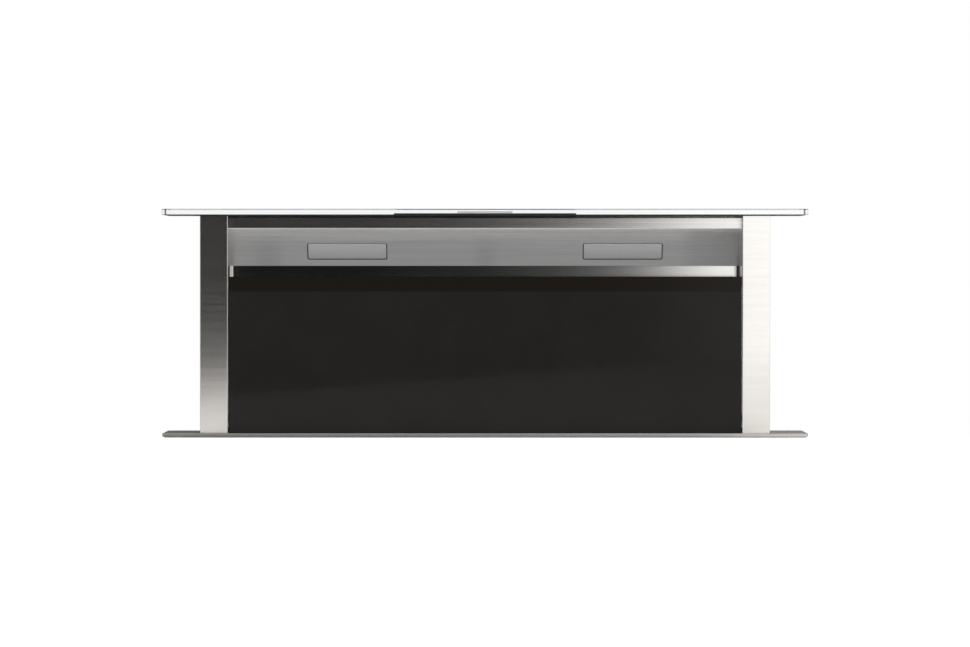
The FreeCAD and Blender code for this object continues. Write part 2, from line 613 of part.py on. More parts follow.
def make_racks():
    module = number("gear_module")
    pitch = math.pi * module
    slope = math.tan(math.radians(number("pressure_angle")))
    travel = number("rise") + 2 * number("rack_end")
    gaps = int(travel / pitch) + 1
    x = ("leg_middle - rack_width / 2", "leg_middle + rack_width / 2")
    bar = prism("rack_bar", "XY_Plane", [rectangle(x, ("rack_tip", "leg_front"))],
                "leg_bottom", "shaft_z + rise + rack_end")
    # one tooth gap, centred on the pinion's height, then repeated up the bar
    half = pitch / 4 + number("backlash") / 4
    tip = half + module * slope + 0.5 * slope
    root = half - 1.25 * module * slope
    first = -int(number("rack_end") / pitch)
    plane = [f for f in bar.Origin.OriginFeatures if f.Role == "YZ_Plane"][0]
    sketch = bar.newObject("Sketcher::SketchObject", "rack_gap")
    sketch.AttachmentSupport = (plane, [""])
    sketch.MapMode = "FlatFace"
    sketch.setExpression("AttachmentOffset.Base.z", full("leg_middle"))
    start = f"shaft_z + {first * pitch}"
    draw(sketch, [("rack_tip - 0.5", f"{start} - {tip}"), ("rack_root", f"{start} - {root}"),
                  ("rack_root", f"{start} + {root}"), ("rack_tip - 0.5", f"{start} + {tip}")])
    gap = bar.newObject("PartDesign::Pocket", "rack_pocket")
    gap.Profile = sketch
    gap.Midplane = True
    gap.setExpression("Length", full("rack_width * 2"))
    doc.recompute()
    rows = bar.newObject("PartDesign::LinearPattern", "rack_teeth")
    rows.Originals = [gap]
    rows.Direction = ([f for f in bar.Origin.OriginFeatures if f.Role == "Z_Axis"][0], [""])
    rows.Length = pitch * (gaps - 1)
    rows.Occurrences = gaps
    bar.Tip = rows
    both("rack", bar)


def involute(base, radius):
    """How far round an involute has turned where it reaches a radius."""
    ratio = math.sqrt((radius / base) ** 2 - 1)
    return ratio - math.atan(ratio)


def pinion_outline():
    """The pinion's toothed outline as a closed wire in the YZ plane, about the origin."""
    module = number("gear_module")
    teeth = int(number("pinion_teeth"))
    pitch = module * teeth / 2
    base = pitch * math.cos(math.radians(number("pressure_angle")))
    root = pitch - 1.25 * module
    tip = pitch + module
    half = math.pi / (2 * teeth) - number("backlash") / (4 * pitch)
    start = max(base, root) * 1.0005
    radii = [start + (tip - start) * i / 4 for i in range(5)]
    edges = []

    def point(radius, angle):
        return Vector(0, radius * math.cos(angle), radius * math.sin(angle))
    for tooth in range(teeth):
        middle = 2 * math.pi * tooth / teeth
        lean = [half - involute(base, r) + involute(base, pitch) for r in radii]
        rising = [point(r, middle - a) for r, a in zip(radii, lean)]
        falling = [point(r, middle + a) for r, a in zip(radii, lean)]
        falling.reverse()
        foot = point(root, middle - lean[0])
        heel = point(root, middle + lean[0])
        following = 2 * math.pi * (tooth + 1) / teeth
        edges.append(Part.LineSegment(foot, rising[0]).toShape())
        up = Part.BSplineCurve()
        up.interpolate(rising)
        edges.append(up.toShape())
        edges.append(Part.Arc(rising[-1], point(tip, middle), falling[0]).toShape())
        down = Part.BSplineCurve()
        down.interpolate(falling)
        edges.append(down.toShape())
        edges.append(Part.LineSegment(falling[-1], heel).toShape())
        valley = point(root, middle + math.pi / teeth)
        edges.append(Part.Arc(heel, valley, point(root, following - lean[0])).toShape())
    return Part.Wire(edges)


def make_pinions():
    width = number("rack_width")
    side = number("tower_width") / 2 - number("column_wall") - number("leg_width") / 2
    pitch = number("gear_module") * number("pinion_teeth") / 2
    blank = Part.Face(pinion_outline()).extrude(Vector(width, 0, 0))
    hub = Part.makeCylinder(number("hub_radius"), number("hub_length"),
                            Vector(-number("hub_length"), 0, 0), Vector(1, 0, 0))
    bore = Part.makeCylinder(number("shaft_radius") + 0.01, width + number("hub_length") + 2,
                             Vector(-number("hub_length") - 1, 0, 0), Vector(1, 0, 0))
    screw = Part.makeCylinder(1.6, number("hub_radius") + 1,
                              Vector(-number("hub_length") / 2, 0, 0), Vector(0, -1, 0))
    pinion = doc.addObject("Part::Feature", "pinion")
    pinion.Shape = blank.fuse(hub).cut(bore).cut(screw).removeSplitter()
    low = (-number("tower_overlap") - number("rise") - pitch - number("gear_module")
           - number("shaft_clearance"))
    pinion.Placement = FreeCAD.Placement(
        Vector(side - width / 2, number("leg_front") - number("rack_back") - pitch, low),
        FreeCAD.Rotation())
    both("pinion", pinion)
    keep(rod("shaft", "x", "shaft_radius", "-(chassis_inner - shaft_end_gap)",
             "chassis_inner - shaft_end_gap", ("shaft_y", "shaft_z")), "drive_shaft")


def make_bearings():
    half = "bearing_size / 2"
    block = box("bearing_block", ("rail_face", "chassis_inner"), (f"shaft_y - {half}", f"shaft_y + {half}"),
                (f"shaft_z - {half}", f"shaft_z + {half}"))
    bore = rod("bearing_bore", "x", "shaft_radius + running_gap", "rail_face - 1",
               "chassis_inner - shaft_end_gap + 1", ("shaft_y", "shaft_z"))
    bearing = cut("bearing", block, bore)
    group = doc.addObject("Part::Compound", "bearings")
    group.Links = [bearing, mirror("bearing_mirror", bearing)]
    keep(group, "shaft_bearings")


def make_guides():
    half = "rail_width / 2"
    middle = "rail_middle"
    wall = "rail_wall"
    high = "-rail_top_gap"
    outline = [
        ("rail_face", f"{middle} - {half}"), ("chassis_inner", f"{middle} - {half}"),
        ("chassis_inner", f"{middle} + {half}"), ("rail_face", f"{middle} + {half}"),
        ("rail_face", f"{middle} + {half} - rail_lip"),
        (f"rail_face + {wall}", f"{middle} + {half} - rail_lip"),
        (f"rail_face + {wall}", f"{middle} + {half} - {wall}"),
        (f"chassis_inner - {wall}", f"{middle} + {half} - {wall}"),
        (f"chassis_inner - {wall}", f"{middle} - {half} + {wall}"),
        (f"rail_face + {wall}", f"{middle} - {half} + {wall}"),
        (f"rail_face + {wall}", f"{middle} - {half} + rail_lip"),
        ("rail_face", f"{middle} - {half} + rail_lip"),
    ]
    both("guide_rail", prism("rail", "XY_Plane", [outline], "rail_foot", high))
    shoes = []
    ends = (("upper", "column_bottom - shoe_margin - shoe_length", "column_bottom - shoe_margin"),
            ("lower", "leg_bottom + 2", "leg_bottom + 2 + shoe_length"))
    for name, low, top in ends:
        head = box("shoe_head_" + name, (f"rail_face + {wall} + shoe_play",
                                         f"chassis_inner - {wall} - shoe_play"),
                   (f"{middle} - {half} + {wall} + shoe_play", f"{middle} + {half} - {wall} - shoe_play"),
                   (low, top))
        neck = box("shoe_neck_" + name, ("leg_outer", f"rail_face + {wall} + shoe_play + 1"),
                   (f"{middle} - {half} + rail_lip + shoe_play", f"{middle} + {half} - rail_lip - shoe_play"),
                   (low, top))
        shoe = fuse("shoe_" + name, head, neck)
        shoes.append(shoe)
        shoes.append(mirror("shoe_mirror_" + name, shoe))
    group = doc.addObject("Part::Compound", "shoes")
    group.Links = shoes
    keep(group, "guide_shoes")


# Housing

def chassis_screws():
    """Heights of the screws down each corner of the housing."""
    return [f"-screw_top - {i} * screw_pitch" for i in range(int(number("screw_rows")))]


def corner_holes(name, y):
    """Screw clearance holes along the edges of the front or the back sheet."""
    holes = []
    for i, z in enumerate(chassis_screws()):
        for side, x in (("r", "chassis_side - screw_edge"), ("l", "-(chassis_side - screw_edge)")):
            holes.append(rod(f"{name}_{side}{i}", "y", "screw_radius + screw_play", y[0], y[1], (x, z)))
    return holes


def make_chassis():
    side = symmetric("chassis_side")
    z = ("chassis_floor", "trim_bottom")
    front = box("front_sheet", side, ("-chassis_back", "-chassis_wall"), z)
    holes = corner_holes("front_hole", ("-chassis_back - 1", "-chassis_wall + 1"))
    keep(cut("chassis_front_cut", front, *holes), "chassis_front")
    back = box("back_sheet", side, ("chassis_wall", "chassis_back"), z)
    holes = corner_holes("back_hole", ("chassis_wall - 1", "chassis_back + 1"))
    inlet = rod("back_inlet", "y", "inlet_radius", "chassis_wall - 1", "chassis_back + 1",
                ("fan_place", "fan_z"))
    lead = rod("back_lead", "y", "lead_radius", "chassis_wall - 1", "chassis_back + 1",
               ("-case_place + lead_side", "case_low + lead_rise"))
    keep(cut("chassis_back_cut", back, inlet, lead, *holes), "chassis_rear")

    wall = "chassis_wall"
    web = box("side_web", ("chassis_inner", "chassis_side"), symmetric(wall), z)
    flanges = []
    for name, y in (("front", (f"-{wall}", f"-{wall} + sheet")), ("back", (f"{wall} - sheet", wall))):
        flanges.append(box("side_flange_" + name, ("chassis_side - chassis_flange", "chassis_inner"),
                           y, ("chassis_floor + sheet", "trim_bottom")))
    solid = fuse("side_solid", web, *flanges)
    tools = []
    for i, z_hole in enumerate(chassis_screws()):
        tools.append(rod(f"side_hole_{i}", "y", "screw_radius + screw_play",
                         "-chassis_back", "chassis_back", ("chassis_side - screw_edge", z_hole)))
    both("chassis_side", cut("side_cut", solid, *tools))

    pan = box("pan_floor", symmetric("chassis_inner"), symmetric(wall),
              ("chassis_floor", "chassis_floor + sheet"))
    inner = symmetric("chassis_inner - chassis_flange")
    lips = [box("pan_lip_front", inner, (f"-{wall}", f"-{wall} + sheet"),
                ("chassis_floor", "chassis_floor + pan_lip")),
            box("pan_lip_back", inner, (f"{wall} - sheet", wall),
                ("chassis_floor", "chassis_floor + pan_lip"))]
    keep(fuse("pan", pan, *lips), "chassis_bottom")


def screw(name, axis, sign, x, y, z):
    """A pan-head screw whose head sits at x, y, z and whose shank runs back along the axis."""
    at = {"x": x, "y": y, "z": z}
    across = [at[a] for a in "xyz" if a != axis]
    here = at[axis]
    out = f"({here}) + {sign} * screw_head"
    back = f"({here}) - {sign} * screw_length"
    head = (here, out) if sign > 0 else (out, here)
    shank = (back, here) if sign > 0 else (here, back)
    return fuse(name, rod(name + "_head", axis, "screw_head_radius", head[0], head[1], across),
                rod(name + "_shank", axis, "screw_radius", shank[0], shank[1], across))


def make_screws():
    made = []
    for i, z in enumerate(chassis_screws()):
        for side, x in (("r", "chassis_side - screw_edge"), ("l", "-(chassis_side - screw_edge)")):
            made.append(screw(f"screw_front_{side}{i}", "y", -1, x, "-chassis_back", z))
            made.append(screw(f"screw_back_{side}{i}", "y", 1, x, "chassis_back", z))
    group = doc.addObject("Part::Compound", "housing_screws")
    group.Links = made
    keep(group, "chassis_screws")
    made = []
    for i, z in enumerate(strip_screws()):
        right = screw(f"screw_strip_{i}", "x", -1, "column_inner - hook_sheet",
                      "strip_face + strip_flange / 2", z)
        made.append(right)
        made.append(mirror(f"screw_strip_left_{i}", right))
    group = doc.addObject("Part::Compound", "strip_screws")
    group.Links = made
    keep(group, "tower_screws")


def make_feet():
    top = "chassis_floor"
    low = "chassis_floor - foot_height"
    wall = "foot_sheet"
    x = "foot_place"
    far = "foot_place + foot_width"
    outline = [(x, low), (far, low), (far, top), (x, top), (x, f"{top} - {wall}"),
               (f"{far} - {wall}", f"{top} - {wall}"), (f"{far} - {wall}", f"{low} + {wall}"),
               (x, f"{low} + {wall}")]
    strip = prism("foot_strip", "XZ_Plane", [outline], "-chassis_wall", "chassis_wall")
    holes = [rod(f"foot_hole_{i}", "z", "foot_hole_radius", f"{low} - 1", f"{low} + {wall} + 1",
                 ("foot_place + foot_hole_edge", y))
             for i, y in enumerate(("-foot_hole_spread / 2", "foot_hole_spread / 2"))]
    foot = cut("foot_cut", strip, *holes)
    group = doc.addObject("Part::Compound", "feet")
    group.Links = [foot, mirror("foot_mirror", foot)]
    keep(group, "floor_feet")


def make_clamps():
    clamps = []
    for i, y in enumerate(("-clamp_spread / 2", "clamp_spread / 2")):
        span = (f"{y} - clamp_width / 2", f"{y} + clamp_width / 2")
        plate = box(f"clamp_plate_{i}", ("chassis_side", "chassis_side + clamp_sheet"), span,
                    ("-clamp_drop - clamp_plate", "-clamp_drop"))
        arm = box(f"clamp_arm_{i}", ("chassis_side", "chassis_side + clamp_reach"), span,
                  ("-clamp_drop - clamp_sheet", "-clamp_drop"))
        stem = rod(f"clamp_stem_{i}", "z", "clamp_screw_radius", "-clamp_drop - clamp_plate + 6",
                   "-clamp_drop + 8", ("chassis_side + clamp_reach / 2 + 3", y))
        pad = rod(f"clamp_pad_{i}", "z", "clamp_pad_radius", "-clamp_drop + 8",
                  "-clamp_drop + 8 + clamp_pad", ("chassis_side + clamp_reach / 2 + 3", y))
        clamp = fuse(f"clamp_{i}", plate, arm, stem, pad)
        clamps += [clamp, mirror(f"clamp_left_{i}", clamp)]
    group = doc.addObject("Part::Compound", "clamps")
    group.Links = clamps
    keep(group, "worktop_clamps")


def make_lift_drive():
    half = "gearbox_width / 2"
    middle = "-gearbox_place"
    high = "shaft_z + pinion_outer"
    low = "shaft_z + pinion_outer - gearbox_height"
    block = prism("gearbox_block", "XZ_Plane",
                  [rectangle((f"{middle} - {half}", f"{middle} + {half}"), (low, high))],
                  "-chassis_wall", "-chassis_wall + gearbox_depth")
    dress(block, "Fillet", "gearbox_edge", lambda e: runs_along(e, "y"))
    bosses = [rod(f"gearbox_boss_{i}", "x", 11, x[0], x[1], ("shaft_y", "shaft_z"))
              for i, x in enumerate(((f"{middle} - {half} - 5", f"{middle} - {half} + 1"),
                                     (f"{middle} + {half} - 1", f"{middle} + {half} + 5")))]
    bore = rod("gearbox_bore", "x", "shaft_radius + running_gap", f"{middle} - {half} - 6",
               f"{middle} + {half} + 6", ("shaft_y", "shaft_z"))
    keep(cut("gearbox", fuse("gearbox_solid", block, *bosses), bore), "lift_gearbox")
    across = (middle, "-chassis_wall + lift_motor_radius + 4")
    body = rod("motor_can", "z", "lift_motor_radius", f"{low} - lift_motor_length", low, across)
    end = rod("motor_end", "z", "lift_motor_radius - 3", f"{low} - lift_motor_length - lift_motor_cap",
              f"{low} - lift_motor_length", across)
    keep(fuse("lift_motor_solid", body, end), "lift_motor")


# Fan

def volute(grow):
    """The fan casing's spiral outline as a face in the XZ plane, grown outwards."""
    x = number("fan_place")
    z = -number("fan_depth")
    step = number("volute_step")
    tongue = number("volute_tongue") - grow
    nose = number("volute_nose")
    first = number("volute_start") + grow
    second = first + step
    third = second + step
    exit_x = x - number("volute_exit")
    high = z - nose - number("volute_tongue") + grow
    low = z - step - third
    turn = math.sqrt(0.5)

    def at(px, pz):
        return Vector(px, 0, pz)
    corner = x - number("volute_start") - number("volute_tongue")
    left = at(x - first, z)
    top = at(x, z + first)
    right = at(x + second, z - step)
    bottom = at(x - step, low)
    edges = [
        Part.LineSegment(at(x - first, z - nose), left).toShape(),
        Part.Arc(left, at(x - first * turn, z + first * turn), top).toShape(),
        Part.Arc(top, at(x + second * turn, z - step + second * turn), right).toShape(),
        Part.Arc(right, at(x - step + third * turn, z - step - third * turn), bottom).toShape(),
        Part.LineSegment(bottom, at(exit_x, low)).toShape(),
        Part.LineSegment(at(exit_x, low), at(exit_x, high)).toShape(),
        Part.LineSegment(at(exit_x, high), at(corner, high)).toShape(),
        Part.Arc(at(corner, high), at(corner + tongue * turn, z - nose - tongue * turn),
                 at(x - first, z - nose)).toShape(),
    ]
    return Part.Face(Part.Wire(edges))


def slab(face, front, back):
    """A face in the XZ plane pushed back into a plate."""
    made = face.copy()
    made.translate(Vector(0, front, 0))
    return made.extrude(Vector(0, back - front, 0))


def make_fan_case():
    front = number("tower_depth") / 2 + number("chassis_play")
    back = front + number("fan_box")
    skin = number("duct_sheet")
    centre = Vector(number("fan_place"), front - 1, -number("fan_depth"))
    wrap = slab(volute(skin), front + skin, back - skin).cut(slab(volute(0), front, back))
    margin = number("plate_margin")
    plate = slab(volute(skin + margin * 0.4), front, front + skin)
    collar = Part.makeCylinder(number("inlet_radius") + skin, number("inlet_collar") + skin,
                               Vector(centre.x, front, centre.z), Vector(0, 1, 0))
    eye = Part.makeCylinder(number("inlet_radius"), number("inlet_collar") + 2 * skin + 2, centre,
                            Vector(0, 1, 0))
    shell = doc.addObject("Part::Feature", "fan_shell")
    shell.Shape = wrap
    keep(shell, "scroll_shell")
    inlet = doc.addObject("Part::Feature", "fan_inlet")
    inlet.Shape = plate.fuse(collar).cut(eye).removeSplitter()
    keep(inlet, "scroll_inlet_plate")
    cover_plate = slab(volute(skin + margin * 0.4), back - skin, back)
    hole = Part.makeCylinder(number("motor_radius") + number("motor_gap"), 3 * skin,
                             Vector(centre.x, back - 2 * skin, centre.z), Vector(0, 1, 0))
    cover = doc.addObject("Part::Feature", "fan_cover")
    cover.Shape = cover_plate.cut(hole)
    keep(cover, "scroll_cover")


def make_fan_motor():
    centre = ("fan_place", "fan_z")
    inner = "fan_back - motor_length + motor_out"
    can = rod("fan_motor_can", "y", "motor_radius", inner, "fan_back + motor_out", centre)
    ring = rod("fan_motor_ring", "y", "motor_flange", "fan_back", "fan_back + motor_flange_thick", centre)
    dome = rod("fan_motor_dome", "y", "motor_radius - 8", "fan_back + motor_out",
               "fan_back + motor_out + 6", centre)
    bore = rod("fan_motor_bore", "y", "motor_shaft_radius + running_gap", f"{inner} - 1",
               "fan_back + motor_out - 4", centre)
    terminal = box("fan_motor_terminal", ("fan_place + motor_radius - 14", "fan_place + motor_radius + 8"),
                   ("fan_back + motor_flange_thick", "fan_back + motor_out - 1"), ("fan_z - 12", "fan_z + 12"))
    keep(cut("fan_motor_cut", fuse("fan_motor_solid", can, ring, dome, terminal), bore), "fan_motor")


def make_impeller():
    centre = ("fan_place", "fan_z")
    disc = rod("wheel_plate", "y", "wheel_radius", "wheel_back - wheel_disc", "wheel_back", centre)
    boss = rod("wheel_boss", "y", "wheel_hub", "wheel_back - wheel_hub_length", "wheel_back", centre)
    stub = rod("wheel_stub", "y", "motor_shaft_radius", "wheel_back",
               "fan_back - motor_length + motor_out + motor_shaft_reach", centre)
    rim = cut("wheel_rim", rod("wheel_rim_out", "y", "wheel_radius", "wheel_front",
                               "wheel_front + wheel_ring", centre),
              rod("wheel_rim_in", "y", "eye_radius", "wheel_front - 1", "wheel_front + wheel_ring + 1",
                  centre))
    blades = Part.makeCompound(fan_blades())
    fins = doc.addObject("Part::Feature", "wheel_blades")
    fins.Shape = blades
    keep(fuse("wheel", disc, boss, stub, rim, fins), "impeller")


def fan_blades():
    """Flat blades set forwards round the wheel, between its disc and its ring."""
    front = (number("tower_depth") / 2 + number("chassis_play") + number("duct_sheet")
             + number("wheel_gap"))
    long = number("wheel_width") - number("wheel_disc") + 0.5
    count = int(number("blade_count"))
    reach = number("wheel_radius") - number("blade_length") - 1
    blades = []
    for i in range(count):
        blade = Part.makeBox(number("blade_length"), long - number("wheel_ring") + 0.5,
                             number("blade_thickness"))
        blade.rotate(Vector(), Vector(0, 1, 0), number("blade_turn"))
        blade.translate(Vector(reach, front + number("wheel_ring") - 0.5, 0))
        blade.rotate(Vector(), Vector(0, 1, 0), 360 * i / count)
        blade.translate(Vector(number("fan_place"), 0, -number("fan_depth")))
        blades.append(blade)
    return blades


def make_spigot():
    face = "duct_exit"
    centre = ("fan_middle", "duct_middle")
    plate = box("spigot_plate", (f"{face} - spigot_flange", face),
                ("fan_front + duct_sheet", "fan_back - duct_sheet"),
                ("duct_low - spigot_margin", "duct_high + spigot_margin"))
    tube = rod("spigot_tube", "x", "spigot_radius", f"{face} - spigot_flange - spigot_length",
               f"{face} - spigot_flange", centre)
    bore = rod("spigot_bore", "x", "spigot_radius - spigot_wall",
               f"{face} - spigot_flange - spigot_length - 1", f"{face} + 1", centre)
    keep(cut("spigot", fuse("spigot_solid", plate, tube), bore), "outlet_spigot")


def make_flaps():
    hinge_x = "duct_exit - flap_pin_place"
    pins = []
    for name, sign in (("back", 1), ("front", -1)):
        hinge_y = f"fan_middle + {sign} * flap_pin_spread"
        pins.append(rod("pin_" + name, "z", "flap_pin_radius", "duct_middle - spigot_radius + spigot_wall + 1",
                        "duct_middle + spigot_radius - spigot_wall - 1", (hinge_x, hinge_y)))
        disc = rod("flap_disc_" + name, "x", "flap_radius", f"{hinge_x} - flap_thickness / 2",
                   f"{hinge_x} + flap_thickness / 2", ("fan_middle", "duct_middle"))
        reach = ("fan_middle + flap_pin_spread", "fan_middle + flap_radius + 1")
        if sign < 0:
            reach = ("fan_middle - flap_radius - 1", "fan_middle - flap_pin_spread")
        half = doc.addObject("Part::Common", "flap_half_" + name)
        half.Base = disc
        half.Tool = box("flap_side_" + name, (f"{hinge_x} - 2", f"{hinge_x} + 2"), reach,
                        ("duct_middle - flap_height / 2", "duct_middle + flap_height / 2"))
        knuckle = rod("flap_knuckle_" + name, "z", "flap_knuckle", "duct_middle - flap_height / 2",
                      "duct_middle + flap_height / 2", (hinge_x, hinge_y))
        bore = rod("flap_bore_" + name, "z", "flap_pin_radius + running_gap", "duct_middle - flap_radius - 2",
                   "duct_middle + flap_radius + 2", (hinge_x, hinge_y))
        keep(cut("flap_cut_" + name, fuse("flap_solid_" + name, half, knuckle), bore), "flap_" + name)
    group = doc.addObject("Part::Compound", "pins")
    group.Links = pins
    keep(group, "flap_pins")


# Electronics

def make_case():
    x = ("-case_place - case_width / 2", "-case_place + case_width / 2")
    z = ("case_low", "-case_drop")
    shell = prism("case_shell", "XZ_Plane", [rectangle(x, z)], "chassis_back", "case_back")
    dress(shell, "Fillet", "case_edge", lambda e: runs_along(e, "y"))
    hollow = box("case_hollow", (f"{x[0]} + case_wall", f"{x[1]} - case_wall"),
                 ("chassis_back + case_wall", "case_back + 1"), (f"{z[0]} + case_wall", f"{z[1]} - case_wall"))
    lead = rod("case_lead", "y", "lead_radius", "chassis_back - 1", "chassis_back + case_wall + 1",
               ("-case_place + lead_side", "case_low + lead_rise"))
    socket = rod("case_socket", "z", "gland_radius * 0.7", "case_low - 1", "case_low + case_wall + 1",
                 ("-case_place - gland_place", "chassis_back + case_depth / 2"))
    keep(cut("case", shell, hollow, lead, socket), "control_case")
    lid = prism("lid_plate", "XZ_Plane", [rectangle(x, z)], "case_back", "case_back + lid_thickness")
    dress(lid, "Fillet", "case_edge", lambda e: runs_along(e, "y"))
    keep(lid, "control_case_lid")
    across = ("-case_place - gland_place", "chassis_back + case_depth / 2")
    nut = rod("gland_nut", "z", "gland_radius", "case_low - gland_length", "case_low", across)
    stem = rod("gland_stem", "z", "gland_radius * 0.7 - 0.1", "case_low", "case_low + gland_stem", across)
    bore = rod("gland_hole", "z", "gland_bore", "case_low - gland_length - 1",
               "case_low + gland_stem + 1", across)
    keep(cut("gland", fuse("gland_solid", nut, stem), bore), "cable_gland")


make_trim()
make_cap()
make_controls()
make_columns()
make_fascia()
make_lamps()
make_back()
make_ledge()
make_filters()
make_hook_strips()
make_panel()
make_base()
make_legs()
make_racks()
make_pinions()
make_bearings()
make_guides()
make_chassis()
make_screws()
make_feet()
make_clamps()
make_lift_drive()
make_fan_case()
make_fan_motor()
make_impeller()
make_spigot()
make_flaps()
make_case()
doc.recompute()

broken = [o.Name for o in doc.Objects if "Invalid" in o.State or "Error" in o.State]
broken += [o.Label for o in nodes if o.Shape.isNull() or not o.Shape.isValid()]
if broken:
    raise RuntimeError("failed: " + ", ".join(broken))
for node in nodes:
    node.Shape.exportStep(f"parts/{node.Label}.step")
    print(f"{node.Label:22s} solids {len(node.Shape.Solids):3d} volume {node.Shape.Volume:12.1f}")
print(len(nodes), "nodes")
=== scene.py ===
import math

import bmesh
import bpy
from mathutils import Matrix, Vector


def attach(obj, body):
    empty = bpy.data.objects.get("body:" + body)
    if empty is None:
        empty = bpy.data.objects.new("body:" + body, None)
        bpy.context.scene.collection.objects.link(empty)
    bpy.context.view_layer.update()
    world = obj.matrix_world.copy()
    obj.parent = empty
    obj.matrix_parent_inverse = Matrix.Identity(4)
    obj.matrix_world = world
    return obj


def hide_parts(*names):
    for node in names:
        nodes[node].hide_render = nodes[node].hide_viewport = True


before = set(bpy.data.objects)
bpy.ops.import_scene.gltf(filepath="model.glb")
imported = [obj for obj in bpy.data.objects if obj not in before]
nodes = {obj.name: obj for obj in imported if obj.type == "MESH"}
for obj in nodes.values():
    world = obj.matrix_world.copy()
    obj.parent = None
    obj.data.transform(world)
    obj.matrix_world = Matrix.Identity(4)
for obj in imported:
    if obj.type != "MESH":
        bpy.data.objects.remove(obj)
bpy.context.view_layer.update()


# Shader node groups that several finishes share. Each puts out a fine Mask and a Broad value.

def newEffect(name, look):
    group = bpy.data.node_groups.new(name, "ShaderNodeTree")
    for label, kind, value in (("Stretch", "NodeSocketVector", look["stretch"]),
                               ("Broad Scale", "NodeSocketFloat", look["broadScale"])):
        socket = group.interface.new_socket(label, in_out="INPUT", socket_type=kind)
        socket.default_value = value
    for label in ("Mask", "Broad"):
        group.interface.new_socket(label, in_out="OUTPUT", socket_type="NodeSocketFloat")
    return group, group.nodes.new("NodeGroupInput"), group.nodes.new("NodeGroupOutput")


def objectPlace(group, start):
    # object coordinates, stretched along each axis by the group's Stretch
    where = group.nodes.new("ShaderNodeTexCoord")
    spread = group.nodes.new("ShaderNodeVectorMath")
    spread.operation = "MULTIPLY"
    group.links.new(where.outputs["Object"], spread.inputs[0])
    group.links.new(start.outputs["Stretch"], spread.inputs[1])
    return spread.outputs[0]


def addNoise(group, place, scale, detail, roughness):
    noise = group.nodes.new("ShaderNodeTexNoise")
    noise.inputs["Scale"].default_value = scale
    noise.inputs["Detail"].default_value = detail
    noise.inputs["Roughness"].default_value = roughness
    group.links.new(place, noise.inputs["Vector"])
    return noise.outputs["Fac"]


def remap(tree, value, low, high, toLow=0.0, toHigh=1.0):
    node = tree.nodes.new("ShaderNodeMapRange")
    node.inputs["From Min"].default_value = low
    node.inputs["From Max"].default_value = high
    node.inputs["To Min"].default_value = toLow
    node.inputs["To Max"].default_value = toHigh
    tree.links.new(value, node.inputs["Value"])
    return node.outputs["Result"]


def calculate(tree, operation, *values):
    # a math node; each value is a socket or a number
    node = tree.nodes.new("ShaderNodeMath")
    node.operation = operation
    for socket, value in zip(node.inputs, values):
        if isinstance(value, bpy.types.NodeSocket):
            tree.links.new(value, socket)
        else:
            socket.default_value = value
    return node.outputs[0]


def splitPlace(tree):
    # object coordinates as X, Y and Z
    where = tree.nodes.new("ShaderNodeTexCoord")
    split = tree.nodes.new("ShaderNodeSeparateXYZ")
    tree.links.new(where.outputs["Object"], split.inputs[0])
    return split.outputs


def addBroad(group, start, detail):
    # wide, slow changes, for uneven handling
    where = group.nodes.new("ShaderNodeTexCoord")
    noise = group.nodes.new("ShaderNodeTexNoise")
    noise.inputs["Detail"].default_value = detail
    group.links.new(where.outputs["Object"], noise.inputs["Vector"])
    group.links.new(start.outputs["Broad Scale"], noise.inputs["Scale"])
    return noise.outputs["Fac"]


# noise: its own form, the range that sharpens it, and the range of the broad one
noiseForms = {
    "grainLines": {"stretch": (5, 800, 800), "detail": 3, "roughness": 0.55,
                   "range": (0.3, 0.7)},
    "fineSpeckle": {"stretch": (900, 900, 900), "detail": 2, "roughness": 0.5,
                    "range": (0.35, 0.65)},
    "softSmudge": {"stretch": (25, 25, 25), "detail": 4, "roughness": 0.6,
                   "range": (0.35, 0.7)},
}
broadForm = {"broadScale": 7, "broadDetail": 3, "broadRange": (0.3, 0.7)}


def makeNoiseGroup(name, look):
    group, start, end = newEffect(name, look)
    fine = addNoise(group, objectPlace(group, start), 1, look["detail"], look["roughness"])
    group.links.new(remap(group, fine, *look["range"]), end.inputs["Mask"])
    broad = addBroad(group, start, look["broadDetail"])
    group.links.new(remap(group, broad, *look["broadRange"]), end.inputs["Broad"])
    return group


spangle = {"stretch": (90, 90, 90), "broadScale": 5, "broadDetail": 2, "cells": 0.7,
           "grain": 0.4, "grainScale": 3, "grainDetail": 3, "grainRoughness": 0.6}


def makeSpangleGroup(look):
    # zinc crystals: flat cells of different brightness, with some grain
    group, start, end = newEffect("zincSpangle", look)
    place = objectPlace(group, start)
    cells = group.nodes.new("ShaderNodeTexVoronoi")
    cells.inputs["Scale"].default_value = 1
    cells.inputs["Randomness"].default_value = 1
    group.links.new(place, cells.inputs["Vector"])
    split = group.nodes.new("ShaderNodeSeparateColor")
    group.links.new(cells.outputs["Color"], split.inputs["Color"])
    fine = addNoise(group, place, look["grainScale"], look["grainDetail"],
                    look["grainRoughness"])
    flat = remap(group, split.outputs["Red"], 0, 1, 0, look["cells"])
    mask = calculate(group, "MULTIPLY_ADD", fine, look["grain"], flat)
    group.links.new(mask, end.inputs["Mask"])
    group.links.new(addBroad(group, start, look["broadDetail"]), end.inputs["Broad"])
    return group


# the filters' mesh fields as limits of |x| and z, and a strand's edges as shares of a cell
meshField = {"stretch": (110, 0, 200), "broadScale": 7, "broadDetail": 2, "x": (0.015, 0.321),
             "z": (0.036, 0.199), "blend": 0.0008, "strand": (0.12, 0.22)}


